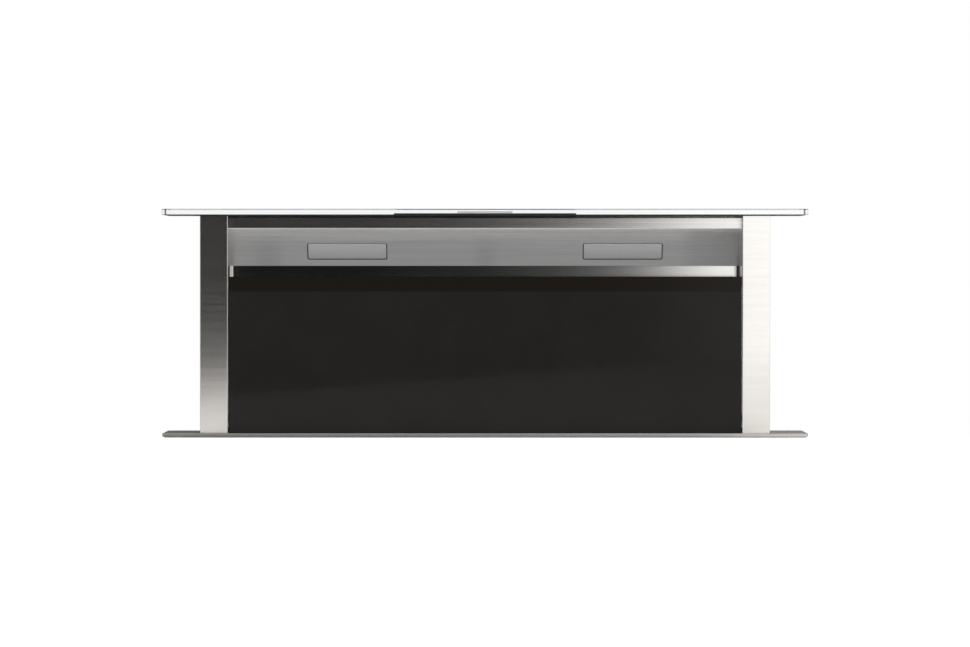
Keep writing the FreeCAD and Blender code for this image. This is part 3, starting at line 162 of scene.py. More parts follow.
def makeMeshGroup(look):
    # crossing strands inside a field, plain sheet outside it
    group, start, end = newEffect("diamondMesh", look)
    split = group.nodes.new("ShaderNodeSeparateXYZ")
    group.links.new(objectPlace(group, start), split.inputs[0])
    slanted = group.nodes.new("ShaderNodeCombineXYZ")
    for way, target in (("ADD", "X"), ("SUBTRACT", "Y")):
        turned = calculate(group, way, split.outputs["X"], split.outputs["Z"])
        group.links.new(turned, slanted.inputs[target])
    cells = group.nodes.new("ShaderNodeTexVoronoi")
    cells.feature = "DISTANCE_TO_EDGE"
    cells.inputs["Scale"].default_value = 1
    cells.inputs["Randomness"].default_value = 0
    group.links.new(slanted.outputs[0], cells.inputs["Vector"])
    strand = remap(group, cells.outputs["Distance"], *look["strand"], 1, 0)
    place = splitPlace(group)
    blend = look["blend"]
    for value, (low, high) in ((calculate(group, "ABSOLUTE", place["X"]), look["x"]),
                               (place["Z"], look["z"])):
        for edge, span in ((low, -blend), (high, blend)):
            outside = remap(group, value, edge, edge + span)
            strand = calculate(group, "MAXIMUM", strand, outside)
    group.links.new(strand, end.inputs["Mask"])
    group.links.new(addBroad(group, start, look["broadDetail"]), end.inputs["Broad"])
    return group


effects = {name: makeNoiseGroup(name, {**look, **broadForm}) for name, look in noiseForms.items()}
effects["diamondMesh"] = makeMeshGroup(meshField)
effects["zincSpangle"] = makeSpangleGroup(spangle)
print("effects made")


# Finishes. dark and light are the two tones that the effect mixes, rough is the roughness range,
# relief is the bump's height in metres, and across is the direction of an anisotropic finish.

looks = {
    "brushedSteel": {
        "effect": "grainLines", "stretch": (6, 320, 320), "dark": (0.622, 0.599, 0.570),
        "light": (0.658, 0.633, 0.601), "rough": (0.18, 0.23), "metal": 1.0, "bump": 0.01,
        "relief": 0.00004, "anisotropic": 0.5, "across": (0, 0.15, 1)},
    "backSteel": {
        "effect": "grainLines", "stretch": (6, 320, 320), "dark": (0.56, 0.545, 0.52),
        "light": (0.60, 0.585, 0.56), "rough": (0.08, 0.11), "metal": 1.0, "bump": 0.01,
        "relief": 0.00004, "anisotropic": 0.3, "across": (0, 0.15, 1)},
    "barSteel": {
        "effect": "grainLines", "stretch": (6, 320, 320), "dark": (0.612, 0.593, 0.569),
        "light": (0.673, 0.650, 0.623), "rough": (0.235, 0.275), "metal": 1.0, "bump": 0.01,
        "relief": 0.00004, "anisotropic": 0.0, "across": (0, 0.15, 1)},
    # the worktop trim's steel: a darker copy of the brushed steel, which paints shade into its
    # tone
    "shadedTrimSteel": {
        "effect": "grainLines", "stretch": (6, 320, 320), "dark": (0.405, 0.391, 0.375),
        "light": (0.450, 0.435, 0.417), "rough": (0.36, 0.42), "metal": 1.0, "bump": 0.01,
        "relief": 0.00004, "anisotropic": 0.4, "across": (0, 0.15, 1)},
    "blackMetal": {
        "effect": "fineSpeckle", "stretch": (700, 700, 700), "dark": (0.010, 0.010, 0.010),
        "light": (0.018, 0.018, 0.018), "rough": (0.42, 0.55), "metal": 0.0, "bump": 0.25,
        "relief": 0.00006},
    "sealRubber": {
        "effect": "softSmudge", "stretch": (160, 160, 160), "dark": (0.10, 0.10, 0.10),
        "light": (0.13, 0.13, 0.13), "rough": (0.6, 0.8), "metal": 0.0, "bump": 0.2,
        "relief": 0.00005},
    "blackPlastic": {
        "effect": "fineSpeckle", "stretch": (1100, 1100, 1100), "dark": (0.010, 0.010, 0.010),
        "light": (0.015, 0.015, 0.015), "rough": (0.38, 0.5), "metal": 0.0, "bump": 0.3,
        "relief": 0.00005, "specular": 0.25},
    "touchGrey": {
        "effect": "softSmudge", "stretch": (60, 60, 60), "dark": (0.52, 0.52, 0.52),
        "light": (0.60, 0.60, 0.60), "rough": (0.25, 0.36), "metal": 0.0, "bump": 0.02,
        "relief": 0.00002},
    "circuitGreen": {
        "effect": "softSmudge", "stretch": (300, 300, 300), "dark": (0.02, 0.11, 0.05),
        "light": (0.03, 0.16, 0.07), "rough": (0.35, 0.5), "metal": 0.0, "bump": 0.15,
        "relief": 0.0001},
    "galvanised": {
        "effect": "zincSpangle", "stretch": (85, 85, 85), "dark": (0.44, 0.45, 0.46),
        "light": (0.64, 0.65, 0.67), "rough": (0.34, 0.52), "metal": 1.0, "bump": 0.04,
        "relief": 0.0001},
    "machinedSteel": {
        "effect": "grainLines", "stretch": (700, 60, 60), "dark": (0.50, 0.50, 0.50),
        "light": (0.62, 0.62, 0.62), "rough": (0.22, 0.34), "metal": 1.0, "bump": 0.08,
        "relief": 0.00004},
    "nylon": {
        "effect": "softSmudge", "stretch": (90, 90, 90), "dark": (0.70, 0.69, 0.64),
        "light": (0.80, 0.79, 0.75), "rough": (0.42, 0.55), "metal": 0.0, "bump": 0.08,
        "relief": 0.00005},
    "satinAluminium": {
        "effect": "grainLines", "stretch": (400, 60, 60), "dark": (0.66, 0.67, 0.68),
        "light": (0.78, 0.79, 0.80), "rough": (0.3, 0.42), "metal": 1.0, "bump": 0.06,
        "relief": 0.00004},
    "filterMesh": {
        "effect": "diamondMesh", "stretch": (110, 0, 200), "dark": (0.16, 0.165, 0.17),
        "light": (0.72, 0.73, 0.74), "rough": (0.5, 0.34), "metal": 1.0, "bump": 0.6,
        "relief": 0.0006},
    "blackEnamel": {
        "effect": "softSmudge", "stretch": (40, 40, 40), "dark": (0.010, 0.010, 0.010),
        "light": (0.013, 0.013, 0.013), "rough": (0.3, 0.4), "metal": 0.0, "bump": 0.0,
        "relief": 0.00001},
    "motorPaint": {
        "effect": "fineSpeckle", "stretch": (500, 500, 500), "dark": (0.025, 0.025, 0.027),
        "light": (0.045, 0.045, 0.048), "rough": (0.34, 0.48), "metal": 0.0, "bump": 0.3,
        "relief": 0.00008},
    "greyPlastic": {
        "effect": "fineSpeckle", "stretch": (900, 900, 900), "dark": (0.20, 0.205, 0.21),
        "light": (0.25, 0.255, 0.26), "rough": (0.42, 0.55), "metal": 0.0, "bump": 0.25,
        "relief": 0.00005},
    "frostedLens": {
        "effect": "fineSpeckle", "stretch": (1200, 1200, 1200), "dark": (0.68, 0.68, 0.675),
        "light": (0.74, 0.74, 0.73), "rough": (0.45, 0.6), "metal": 0.0, "bump": 0.1,
        "relief": 0.00003},
}


def mixTones(tree, factor, dark, light):
    mix = tree.nodes.new("ShaderNodeMix")
    mix.data_type = "RGBA"
    mix.inputs["A"].default_value = (*dark, 1)
    mix.inputs["B"].default_value = (*light, 1)
    tree.links.new(factor, mix.inputs["Factor"])
    return mix.outputs["Result"]


def makeFinish(name, look):
    material = bpy.data.materials.new(name)
    material.use_nodes = True
    tree = material.node_tree
    shader = tree.nodes["Principled BSDF"]
    effect = tree.nodes.new("ShaderNodeGroup")
    effect.node_tree = effects[look["effect"]]
    effect.inputs["Stretch"].default_value = look["stretch"]
    mask, broad = effect.outputs["Mask"], effect.outputs["Broad"]
    if look["dark"] == look["light"]:
        shader.inputs["Base Color"].default_value = (*look["dark"], 1)
    else:
        tones = mixTones(tree, mask, look["dark"], look["light"])
        tree.links.new(tones, shader.inputs["Base Color"])
    share = tree.nodes.new("ShaderNodeMix")
    share.inputs["Factor"].default_value = 0.5
    tree.links.new(mask, share.inputs["A"])
    tree.links.new(broad, share.inputs["B"])
    rough = remap(tree, share.outputs["Result"], 0, 1, look["rough"][0], look["rough"][1])
    tree.links.new(rough, shader.inputs["Roughness"])
    bump = tree.nodes.new("ShaderNodeBump")
    bump.inputs["Strength"].default_value = look["bump"]
    bump.inputs["Distance"].default_value = look["relief"]
    tree.links.new(mask, bump.inputs["Height"])
    tree.links.new(bump.outputs["Normal"], shader.inputs["Normal"])
    shader.inputs["Metallic"].default_value = look["metal"]
    if "specular" in look:
        shader.inputs["Specular IOR Level"].default_value = look["specular"]
    if "anisotropic" in look:
        shader.inputs["Anisotropic"].default_value = look["anisotropic"]
        across = tree.nodes.new("ShaderNodeCombineXYZ")
        for axis, value in zip("XYZ", look["across"]):
            across.inputs[axis].default_value = value
        tree.links.new(across.outputs[0], shader.inputs["Tangent"])
    material.diffuse_color = (*look["light"], 1)
    return material


finishes = {name: makeFinish(name, look) for name, look in looks.items()}


blackGlassLook = {
    "dark": (0.0185, 0.0172, 0.0164), "light": (0.0210, 0.0196, 0.0188),
    "rough": (0.05, 0.09), "specular": 0.06, "band": (0.0140, 0.0112, 0.0090),
    "bandFoot": 0.1985, "bandBlend": 0.0012,
}
capGlassLook = {
    "tint": (0.93, 0.955, 0.945), "rough": (0.0, 0.03), "ior": 1.5,
    "endTint": (0.60, 0.615, 0.61), "endFoot": 0.4383, "endBlend": 0.0008,
}


def makeBlackGlass(look):
    material = makeFinish("blackGlass", {
        "effect": "softSmudge", "stretch": (14, 14, 14), "dark": look["dark"],
        "light": look["light"], "rough": look["rough"], "metal": 0.0, "bump": 0.0,
        "relief": 0.00001, "specular": look["specular"]})
    tree = material.node_tree
    shader = tree.nodes["Principled BSDF"]
    # a darker, browner band along the panel's top
    foot = look["bandFoot"]
    mask = remap(tree, splitPlace(tree)["Z"], foot, foot + look["bandBlend"])
    body = shader.inputs["Base Color"].links[0].from_socket
    banded = mixTones(tree, mask, look["dark"], look["band"])
    tree.links.new(body, banded.node.inputs["A"])
    tree.links.new(banded, shader.inputs["Base Color"])
    return material


def makeCapGlass(look):
    material = makeFinish("clearCapGlass", {
        "effect": "softSmudge", "stretch": (9, 9, 9), "dark": look["tint"], "light": look["tint"],
        "rough": look["rough"], "metal": 0.0, "bump": 0.0, "relief": 0.00001})
    tree = material.node_tree
    shader = tree.nodes["Principled BSDF"]
    shader.inputs["Transmission Weight"].default_value = 1
    shader.inputs["IOR"].default_value = look["ior"]
    # the ground ends let less light through
    side = calculate(tree, "ABSOLUTE", splitPlace(tree)["X"])
    foot = look["endFoot"]
    mask = remap(tree, side, foot, foot + look["endBlend"])
    tones = mixTones(tree, mask, look["tint"], look["endTint"])
    tree.links.new(tones, shader.inputs["Base Color"])
    return material


finishes["blackGlass"] = makeBlackGlass(blackGlassLook)
finishes["capGlass"] = makeCapGlass(capGlassLook)

nodeFinishes = {
    "brushedSteel": "column_left column_right",
    "backSteel": "rear_panel",
    "barSteel": "fascia_lamp_bar",
    "shadedTrimSteel": "worktop_trim",
    "capGlass": "cap_glass",
    "blackGlass": "glass_panel",
    "blackMetal": "cap_carrier",
    "sealRubber": "cap_seal trim_gasket",
    "blackPlastic": "control_housing lamp_holder_left lamp_holder_right cable_gland",
    "touchGrey": "touch_insert",
    "circuitGreen": "control_board led_board_left led_board_right",
    "frostedLens": "lamp_lens_left lamp_lens_right",
    "galvanised": "filter_ledge hook_strip_left hook_strip_right tower_base chassis_front "
                  "chassis_rear chassis_side_left chassis_side_right chassis_bottom "
                  "floor_feet worktop_clamps guide_rail_left guide_rail_right leg_left leg_right "
                  "scroll_shell scroll_inlet_plate scroll_cover control_case control_case_lid "
                  "panel_carrier impeller",
    "machinedSteel": "rack_left rack_right pinion_left pinion_right drive_shaft shaft_bearings "
                     "flap_pins tower_screws chassis_screws",
    "nylon": "guide_shoes",
    "filterMesh": "grease_filter_left grease_filter_right",
    "satinAluminium": "lift_gearbox",
    "motorPaint": "lift_motor fan_motor",
    "greyPlastic": "outlet_spigot flap_back flap_front",
}


def dressNodes():
    for finish, names in nodeFinishes.items():
        for name in names.split():
            part = nodes[name]
            if not part.material_slots:
                part.data.materials.append(None)
            for slot in part.material_slots:
                slot.material = finishes[finish]


dressNodes()
print("CAD nodes dressed")


# Small modelled pieces

def addObject(name, bm, material):
    mesh = bpy.data.meshes.new(name)
    bm.to_mesh(mesh)
    bm.free()
    mesh.materials.append(material)
    made = bpy.data.objects.new(name, mesh)
    bpy.context.scene.collection.objects.link(made)
    return made


def newPiece(name, bm, finish, body, smooth=True):
    bmesh.ops.recalc_face_normals(bm, faces=bm.faces)
    piece = addObject(name, bm, finishes[finish])
    for face in piece.data.polygons:
        face.use_smooth = smooth
    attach(piece, body)
    return piece


def facing(place, direction):
    turn = Vector(direction).to_track_quat("Z", "Y").to_matrix().to_4x4()
    return Matrix.Translation(place) @ turn


# what every screw shares, as shares of its head's radius or height
screwForm = {"sides": 12, "taper": 0.9, "crown": 0.45, "crownSteps": 3, "flats": 0.68,
             "socketGap": 0.02, "socketDepth": 0.5, "shank": 0.5}


def addScrew(bm, place, direction, look, form=screwForm):
    # a domed head with a six-point socket, and its shank
    before = set(bm.verts)
    radius, height = look["radius"], look["height"]
    lift = Matrix.Translation((0, 0, height / 2))
    bmesh.ops.create_cone(bm, cap_ends=True, segments=form["sides"], radius1=radius,
                          radius2=radius * form["taper"], depth=height, matrix=lift)
    made = [v for v in bm.verts if v not in before]
    rim = {e for v in made for e in v.link_edges
           if all(abs(end.co.z - height) < 1e-7 for end in e.verts)}
    bmesh.ops.bevel(bm, geom=list(rim), offset=height * form["crown"],
                    segments=form["crownSteps"], profile=0.5, affect="EDGES", material=-1)
    made = [v for v in bm.verts if v not in before]
    top = max({f for v in made for f in v.link_faces}, key=lambda f: f.calc_center_median().z)
    bmesh.ops.inset_region(bm, faces=[top], thickness=radius * look["socketEdge"])
    middle = top.calc_center_median()
    for corner in list(top.verts)[::2]:
        corner.co = middle + (corner.co - middle) * form["flats"]
    bmesh.ops.inset_individual(bm, faces=[top], thickness=radius * form["socketGap"],
                               depth=-height * form["socketDepth"])
    sink = Matrix.Translation((0, 0, -look["shank"] / 2))
    bmesh.ops.create_cone(bm, cap_ends=True, segments=form["sides"],
                          radius1=radius * form["shank"], radius2=radius * form["shank"],
                          depth=look["shank"], matrix=sink)
    made = [v for v in bm.verts if v not in before]
    bmesh.ops.transform(bm, matrix=facing(place, direction), verts=made)


housingScrews = {"radius": 0.004, "height": 0.0024, "shank": 0.0036, "socketEdge": 0.22,
                 "side": 0.405, "face": 0.051, "top": -0.06, "pitch": 0.19, "rows": 4}


def makeHousingScrews(look):
    bm = bmesh.new()
    for row in range(look["rows"]):
        z = look["top"] - row * look["pitch"]
        for x in (look["side"], -look["side"]):
            for way in (1, -1):
                addScrew(bm, (x, way * look["face"], z), (0, way, 0), look)
    piece = newPiece("housingScrews", bm, "machinedSteel", "housing")
    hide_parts("chassis_screws")


def addBlock(bm, low, high, edge):
    # a rib with eased edges
    before = set(bm.verts)
    size = [b - a for a, b in zip(low, high)]
    middle = [(a + b) / 2 for a, b in zip(low, high)]
    shape = Matrix.Translation(middle) @ Matrix.Diagonal((*size, 1))
    bmesh.ops.create_cube(bm, size=1, matrix=shape)
    made = {e for v in bm.verts if v not in before for e in v.link_edges}
    bmesh.ops.bevel(bm, geom=list(made), offset=edge, segments=2, profile=0.5,
                    affect="EDGES", material=-1)
    return [v for v in bm.verts if v not in before]


# screws round the scroll cover: three arcs of its outline as (x, z, radius, angles), and its
# straight edges as (x, z, way outwards)
coverScrews = {
    "radius": 0.0019, "height": 0.0014, "shank": 0.003, "socketEdge": 0.24,
    "face": 0.211, "inset": 0.0026,
    "arcs": [(0.010, -0.515, 0.112, (170, 135, 100)), (0.010, -0.537, 0.134, (70, 40, 10)),
             (-0.012, -0.537, 0.156, (-15, -45, -75))],
    "straights": [(-0.06, -0.693, -1), (-0.115, -0.693, -1), (-0.165, -0.693, -1),
                  (-0.165, -0.537, 1), (-0.13, -0.537, 1)],
}


def makeCoverScrews(look):
    spots = []
    for x, z, radius, angles in look["arcs"]:
        reach = radius + look["inset"]
        for angle in angles:
            turn = math.radians(angle)
            spots.append((x + reach * math.cos(turn), z + reach * math.sin(turn)))
    for x, z, way in look["straights"]:
        spots.append((x, z + way * look["inset"]))
    bm = bmesh.new()
    for x, z in spots:
        addScrew(bm, (x, look["face"], z), (0, 1, 0), look)
    newPiece("coverScrews", bm, "machinedSteel", "housing")


caseScrews = {"radius": 0.0032, "height": 0.002, "shank": 0.004, "socketEdge": 0.24,
              "face": 0.0975, "left": -0.360, "right": -0.180, "low": -0.230, "high": -0.120,
              "inset": 0.009}


def makeCaseScrews(look):
    bm = bmesh.new()
    for x in (look["left"] + look["inset"], look["right"] - look["inset"]):
        for z in (look["low"] + look["inset"], look["high"] - look["inset"]):
            addScrew(bm, (x, look["face"], z), (0, 1, 0), look)
    newPiece("caseScrews", bm, "machinedSteel", "housing")


motorTrim = {
    "x": 0.010, "z": -0.515, "can": 0.045, "ribs": 24, "ribHeight": 0.0016, "ribWidth": 0.0022,
    "ribLow": 0.2155, "ribHigh": 0.2255, "ribSink": 0.0008, "gapAngle": 20,
    "vents": 16, "ventLow": 0.0385, "ventHigh": 0.0438, "ventFace": 0.227, "ventTall": 0.0018,
    "ventSink": 0.0006, "edge": 0.0004, "screwRadius": 0.0525, "screwFace": 0.214,
    "screwAngles": (70, 190, 290),
}
motorScrew = {"radius": 0.0036, "height": 0.0022, "shank": 0.004, "socketEdge": 0.22}


def makeMotorTrim(look):
    # ribs along the can, and short ones round its end; the can's terminal box leaves a gap
    bm = bmesh.new()
    centre = Matrix.Translation((look["x"], 0, look["z"]))
    half = look["ribWidth"] / 2
    sets = (
        (look["ribs"], look["gapAngle"], (look["can"] - look["ribSink"], -half, look["ribLow"]),
         (look["can"] + look["ribHeight"], half, look["ribHigh"])),
        (look["vents"], 0, (look["ventLow"], -half, look["ventFace"] - look["ventSink"]),
         (look["ventHigh"], half, look["ventFace"] + look["ventTall"])))
    lay = Matrix.Rotation(-math.pi / 2, 4, "X")
    for count, gap, low, high in sets:
        for index in range(count):
            angle = 360 * index / count
            if min(angle, 360 - angle) < gap:
                continue
            made = addBlock(bm, low, high, look["edge"])
            swing = Matrix.Rotation(-math.radians(angle), 4, "Y")
            bmesh.ops.transform(bm, matrix=centre @ swing @ lay, verts=made)
    newPiece("motorRibs", bm, "motorPaint", "housing")
    bm = bmesh.new()
    for angle in look["screwAngles"]:
        turn = math.radians(angle)
        place = (look["x"] + look["screwRadius"] * math.cos(turn), look["screwFace"],
                 look["z"] + look["screwRadius"] * math.sin(turn))
        addScrew(bm, place, (0, 1, 0), motorScrew)
    newPiece("motorScrews", bm, "machinedSteel", "housing")


spigotBead = {"y": 0.131, "z": -0.615, "radius": 0.0748, "place": -0.213, "width": 0.0032,
              "height": 0.0015, "segments": 96, "steps": 8}


def makeSpigotBead(look):
    # the raised ring that holds a duct's clamp
    bm = bmesh.new()
    points = []
    for step in range(look["steps"] + 1):
        turn = math.pi * step / look["steps"]
        points.append((look["place"] + look["width"] / 2 * math.cos(turn),
                       look["radius"] + look["height"] * math.sin(turn)))
    ring = [bm.verts.new((x, look["y"], look["z"] + reach)) for x, reach in points]
    profile = [bm.edges.new((a, b)) for a, b in zip(ring, ring[1:])]
    bmesh.ops.spin(bm, geom=ring + profile, cent=(0, look["y"], look["z"]), axis=(1, 0, 0),
                   angle=2 * math.pi, steps=look["segments"], use_merge=True)
    newPiece("spigotBead", bm, "greyPlastic", "housing")


# black print on the underside of the cap; the controls' bay is cut out of the first sheet, and the
# second lies on the bay's ceiling, round the touch window
capPrint = {
    "thickness": 0.00004,
    "sheets": [
        {"side": 0.4376, "front": -0.056, "back": 0.056, "bay": 0.1243, "reach": 0.0225,
         "face": 0.3036},
        {"side": 0.1238, "front": -0.0585, "back": 0.0221, "bay": 0.0379, "reach": -0.0473,
         "face": 0.3056},
    ],
}


def makeCapPrint(look):
    bm = bmesh.new()
    for sheet in look["sheets"]:
        side, front, back = sheet["side"], sheet["front"], sheet["back"]
        bay, reach = sheet["bay"], sheet["reach"]
        outline = [(-side, front), (-bay, front), (-bay, reach), (bay, reach), (bay, front),
                   (side, front), (side, back), (-side, back)]
        face = bm.faces.new([bm.verts.new((x, y, sheet["face"])) for x, y in outline])
        sunk = bmesh.ops.extrude_face_region(bm, geom=[face])
        moved = [item for item in sunk["geom"] if isinstance(item, bmesh.types.BMVert)]
        bmesh.ops.translate(bm, verts=moved, vec=(0, 0, -look["thickness"]))
    piece = newPiece("capPrint", bm, "blackEnamel", "tower", smooth=False)


makeHousingScrews(housingScrews)
makeCoverScrews(coverScrews)
makeCaseScrews(caseScrews)
makeMotorTrim(motorTrim)
makeSpigotBead(spigotBead)
makeCapPrint(capPrint)
print("small pieces made")


# Stage: a white worktop in front of and beside the vent, the floor that its housing stands on,
# and lights. The worktop is left open behind, so that the housing shows from the back.

stageLook = {
    "front": -0.0525, "side": 0.415, "margin": 0.54, "back": 0.062, "far": 14.0,
    "top": -0.0003, "ground": -0.7352, "white": (0.8, 0.8, 0.8), "glow": 0.62,
}


def seenDirectly(tree):
    # 1 for rays from the camera or sent on by steel and glass, 0 for diffuse light
    path = tree.nodes.new("ShaderNodeLightPath")
    sharp = calculate(tree, "MAXIMUM", path.outputs["Is Camera Ray"],
                      path.outputs["Is Glossy Ray"])
    return calculate(tree, "MAXIMUM", sharp, path.outputs["Is Transmission Ray"])


def newStageMaterial(name):
    material = bpy.data.materials.new(name)
    material.use_nodes = True
    tree = material.node_tree
    tree.nodes.clear()
    out = tree.nodes.new("ShaderNodeOutputMaterial")
    return material, tree, tree.nodes.new("ShaderNodeEmission"), out.inputs["Surface"]


def makeStageWhite(look):
    material, tree, glow, surface = newStageMaterial("stageWhite")
    matt = tree.nodes.new("ShaderNodeBsdfDiffuse")
    matt.inputs["Color"].default_value = (*look["white"], 1)
    strength = remap(tree, seenDirectly(tree), 0, 1, 0, look["glow"])
    tree.links.new(strength, glow.inputs["Strength"])
    both = tree.nodes.new("ShaderNodeAddShader")
    tree.links.new(matt.outputs[0], both.inputs[0])
    tree.links.new(glow.outputs[0], both.inputs[1])
    tree.links.new(both.outputs[0], surface)
    return material


def addStageSheet(name, outlines, material):
    bm = bmesh.new()
    for outline in outlines:
        bm.faces.new([bm.verts.new(corner) for corner in outline])
    sheet = addObject(name, bm, material)
    return sheet


def flatOutline(low, high, z):
    return [(low[0], low[1], z), (high[0], low[1], z), (high[0], high[1], z), (low[0], high[1], z)]


def makeStage(look):
    white = makeStageWhite(look)
    far, side, margin = look["far"], look["side"], look["margin"]
    front, back, top = look["front"], look["back"], look["top"]
    worktop = addStageSheet("worktop", [
        flatOutline((-far, -far), (far, front), top),
        flatOutline((-margin, front), (-side, back), top),
        flatOutline((side, front), (margin, back), top)], white)
    worktop.visible_shadow = False
    addStageSheet("ground", [flatOutline((-far, -far), (far, far), look["ground"])], white)


makeStage(stageLook)


worldLook = {"color": (1, 1, 1), "light": 0.45, "seen": 1.0}


def makeWorld(look):
    world = bpy.data.worlds.new("studio")
    bpy.context.scene.world = world
    world.use_nodes = True
    tree = world.node_tree
    back = tree.nodes["Background"]
    back.inputs["Color"].default_value = (*look["color"], 1)
    strength = remap(tree, seenDirectly(tree), 0, 1, look["light"], look["seen"])
    tree.links.new(strength, back.inputs["Strength"])


makeWorld(worldLook)

# Cards that only the steel and the glass reflect; the camera and the lamps pass through them.
# ramp gives a card's brightness along x, as (x, strength).
cards = {
    "frontCard": {
        # dark on the left, a soft box on the right, clear of the worktop
        "corners": [(-1.8, -0.6, -0.04), (-0.42, -0.6, 0.0385), (0.42, -0.6, 0.100),
                    (1.8, -0.6, 0.158), (1.8, -0.6, 0.262), (-1.8, -0.6, 0.262)],
        "color": (0.975, 0.988, 1.0),
        "ramp": [(-1.8, 0.040), (-0.41, 0.040), (-0.365, 0.014), (-0.2, 0.014), (0.0, 0.037),
                 (0.11, 0.085), (0.17, 0.16), (0.22, 0.30), (0.265, 0.56), (0.31, 1.02),
                 (0.36, 1.5), (0.6, 1.7), (1.8, 2.6)]},
    "frontTopCard": {
        # its upper part, which the fascia sees, fades more slowly
        "corners": [(-1.8, -0.6, 0.262), (1.8, -0.6, 0.262), (1.8, -0.6, 1.3), (-1.8, -0.6, 1.3)],
        "color": (0.975, 0.988, 1.0),
        "ramp": [(-1.8, 0.036), (-0.2, 0.042), (-0.1, 0.054), (0.0, 0.088), (0.06, 0.142),
                 (0.11, 0.22), (0.17, 0.36), (0.22, 0.55), (0.265, 0.95), (0.31, 1.46),
                 (0.36, 1.6), (0.6, 1.7), (1.8, 2.6)]},
    "bayCard": {
        # a painted reflection of the lit filters, as the leaning lamp bar sees them
        "corners": [(-0.35, -0.0415, 0.206), (0.35, -0.0415, 0.206), (0.35, 0.025, 0.206),
                    (-0.35, 0.025, 0.206)],
        "color": (0.93, 0.965, 1.0),
        "ramp": [(-0.35, 0.40), (-0.33, 0.40), (-0.305, 0.35), (-0.285, 0.37), (-0.278, 0.41),
                 (-0.02, 0.40), (0.0, 0.35), (0.02, 0.40), (0.27, 0.41), (0.285, 0.36),
                 (0.35, 0.29)]},
    "bayEdgeCard": {
        # a painted reflection of their brighter top edge
        "corners": [(-0.35, -0.0415, 0.2155), (0.35, -0.0415, 0.2155), (0.35, -0.034, 0.2155),
                    (-0.35, -0.034, 0.2155)],
        "color": (0.93, 0.965, 1.0),
        "ramp": [(-0.35, 0.6), (0.27, 0.6), (0.29, 0.36), (0.35, 0.2)]},
    "floorCard": {
        # a painted reflection of the worktop in front, dark in the middle and bright on the right,
        # as the trim's edge sees it
        "corners": [(-0.9, -0.096, 0.0002), (0.345, -0.096, 0.0002), (0.355, -0.30, 0.0002),
                    (0.9, -0.30, 0.0002), (0.9, -0.062, 0.0002), (-0.9, -0.062, 0.0002)],
        "color": (1.0, 0.985, 0.965),
        "ramp": [(-0.9, 0.28), (-0.42, 0.28), (-0.35, 0.12), (0.0, 0.03), (0.13, 0.01),
                 (0.25, 0.01), (0.29, 0.12), (0.33, 0.36), (0.36, 0.9), (0.40, 1.25),
                 (0.9, 1.1)]},
    "slotLeftCard": {
        # strips at the columns' inner walls in the slot that the steel reflects: a painted
        # highlight on the left, painted shade on the right
        "corners": [(-0.351, 0.0365, 0.19), (-0.3495, 0.0365, 0.19), (-0.3495, 0.0365, 0.286),
                    (-0.351, 0.0365, 0.286)],
        "color": (1.0, 0.985, 0.96), "ramp": [(-0.351, 0.95), (-0.3495, 0.95)]},
    "slotRightCard": {
        "corners": [(0.3489, 0.0365, 0.19), (0.351, 0.0365, 0.19), (0.351, 0.0365, 0.286),
                    (0.3489, 0.0365, 0.286)],
        "color": (1.0, 0.985, 0.96), "ramp": [(0.3489, 0.02), (0.351, 0.03)]},
    "backCard": {
        # a dim room behind the trim
        "corners": [(-0.9, 0.24, 0.0), (0.9, 0.24, 0.0), (0.9, 0.24, 0.5), (-0.9, 0.24, 0.5)],
        "color": (1.0, 0.98, 0.95),
        "ramp": [(-0.9, 0.10), (-0.4, 0.12), (0.4, 0.26), (0.9, 0.29)]},
}


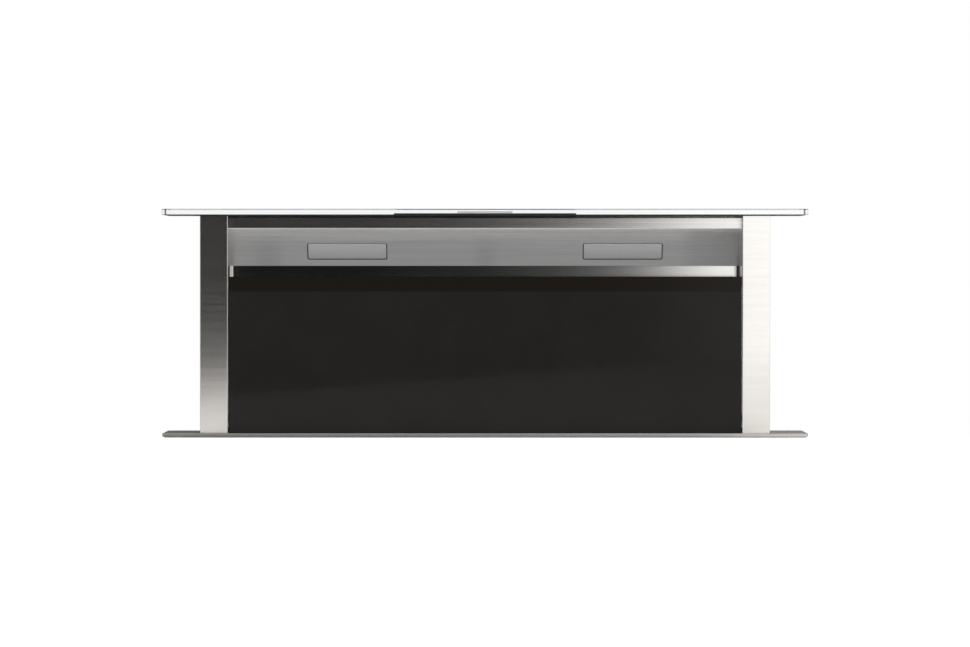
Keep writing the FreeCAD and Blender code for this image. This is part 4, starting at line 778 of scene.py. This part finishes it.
def makeCard(name, look):
    material, tree, glow, surface = newStageMaterial(name)
    ramp = look["ramp"]
    left, right = ramp[0][0], ramp[-1][0]
    top = max(value for x, value in ramp)
    curve = tree.nodes.new("ShaderNodeFloatCurve")
    points = curve.mapping.curves[0].points
    while len(points) < len(ramp):
        points.new(0.5, 0.5)
    for point, (x, value) in zip(points, ramp):
        point.location = ((x - left) / (right - left), value / top)
        point.handle_type = "VECTOR"
    curve.mapping.update()
    tree.links.new(remap(tree, splitPlace(tree)["X"], left, right), curve.inputs["Value"])
    level = calculate(tree, "MULTIPLY", curve.outputs["Value"], top)
    tree.links.new(level, glow.inputs["Strength"])
    glow.inputs["Color"].default_value = (*look["color"], 1)
    tree.links.new(glow.outputs[0], surface)
    card = addStageSheet(name, [look["corners"]], material)
    card.visible_camera = False
    card.visible_diffuse = False
    card.visible_transmission = False
    card.visible_shadow = False


for name, look in cards.items():
    makeCard(name, look)

# shines says whether a lamp shows in the steel and the glass
lamps = {
    "key": {"place": (0.8, -2.2, 2.6), "aim": (0, 0, 0.1), "size": 2.4, "power": 55,
            "shines": True},
    "fill": {"place": (-2.6, -1.2, 1.6), "aim": (0, 0, 0.1), "size": 2.0, "power": 18,
             "shines": True},
    "back": {"place": (-1.6, 3.0, 1.8), "aim": (0, 0, -0.3), "size": 2.4, "power": 60,
             "shines": False},
}


def makeLamp(name, look):
    light = bpy.data.lights.new(name, "AREA")
    light.size = look["size"]
    light.energy = look["power"]
    lamp = bpy.data.objects.new(name, light)
    lamp.location = look["place"]
    away = Vector(look["place"]) - Vector(look["aim"])
    lamp.rotation_euler = away.to_track_quat("Z", "Y").to_euler()
    lamp.visible_glossy = look["shines"]
    bpy.context.scene.collection.objects.link(lamp)


for name, look in lamps.items():
    makeLamp(name, look)

# the distance is to the origin; frameWidth is what the picture spans at the front plane
cameraLook = {"distance": 6.15, "height": 0.230, "aim": 0.1553, "frontPlane": -0.048,
              "frameWidth": 1.3234, "sensor": 36, "reach": 100}


def makeCamera(look):
    data = bpy.data.cameras.new("camera")
    camera = bpy.data.objects.new("camera", data)
    run = look["distance"] + look["frontPlane"]
    data.sensor_width = look["sensor"]
    data.lens = data.sensor_width * run / look["frameWidth"]
    data.clip_end = look["reach"]
    camera.location = (0, -look["distance"], look["height"])
    tilt = math.atan((look["height"] - look["aim"]) / run)
    camera.rotation_euler = (math.pi / 2 - tilt, 0, 0)
    bpy.context.scene.collection.objects.link(camera)
    bpy.context.scene.camera = camera


makeCamera(cameraLook)
bpy.context.scene.view_settings.view_transform = "Standard"
print("stage, lights and camera made")
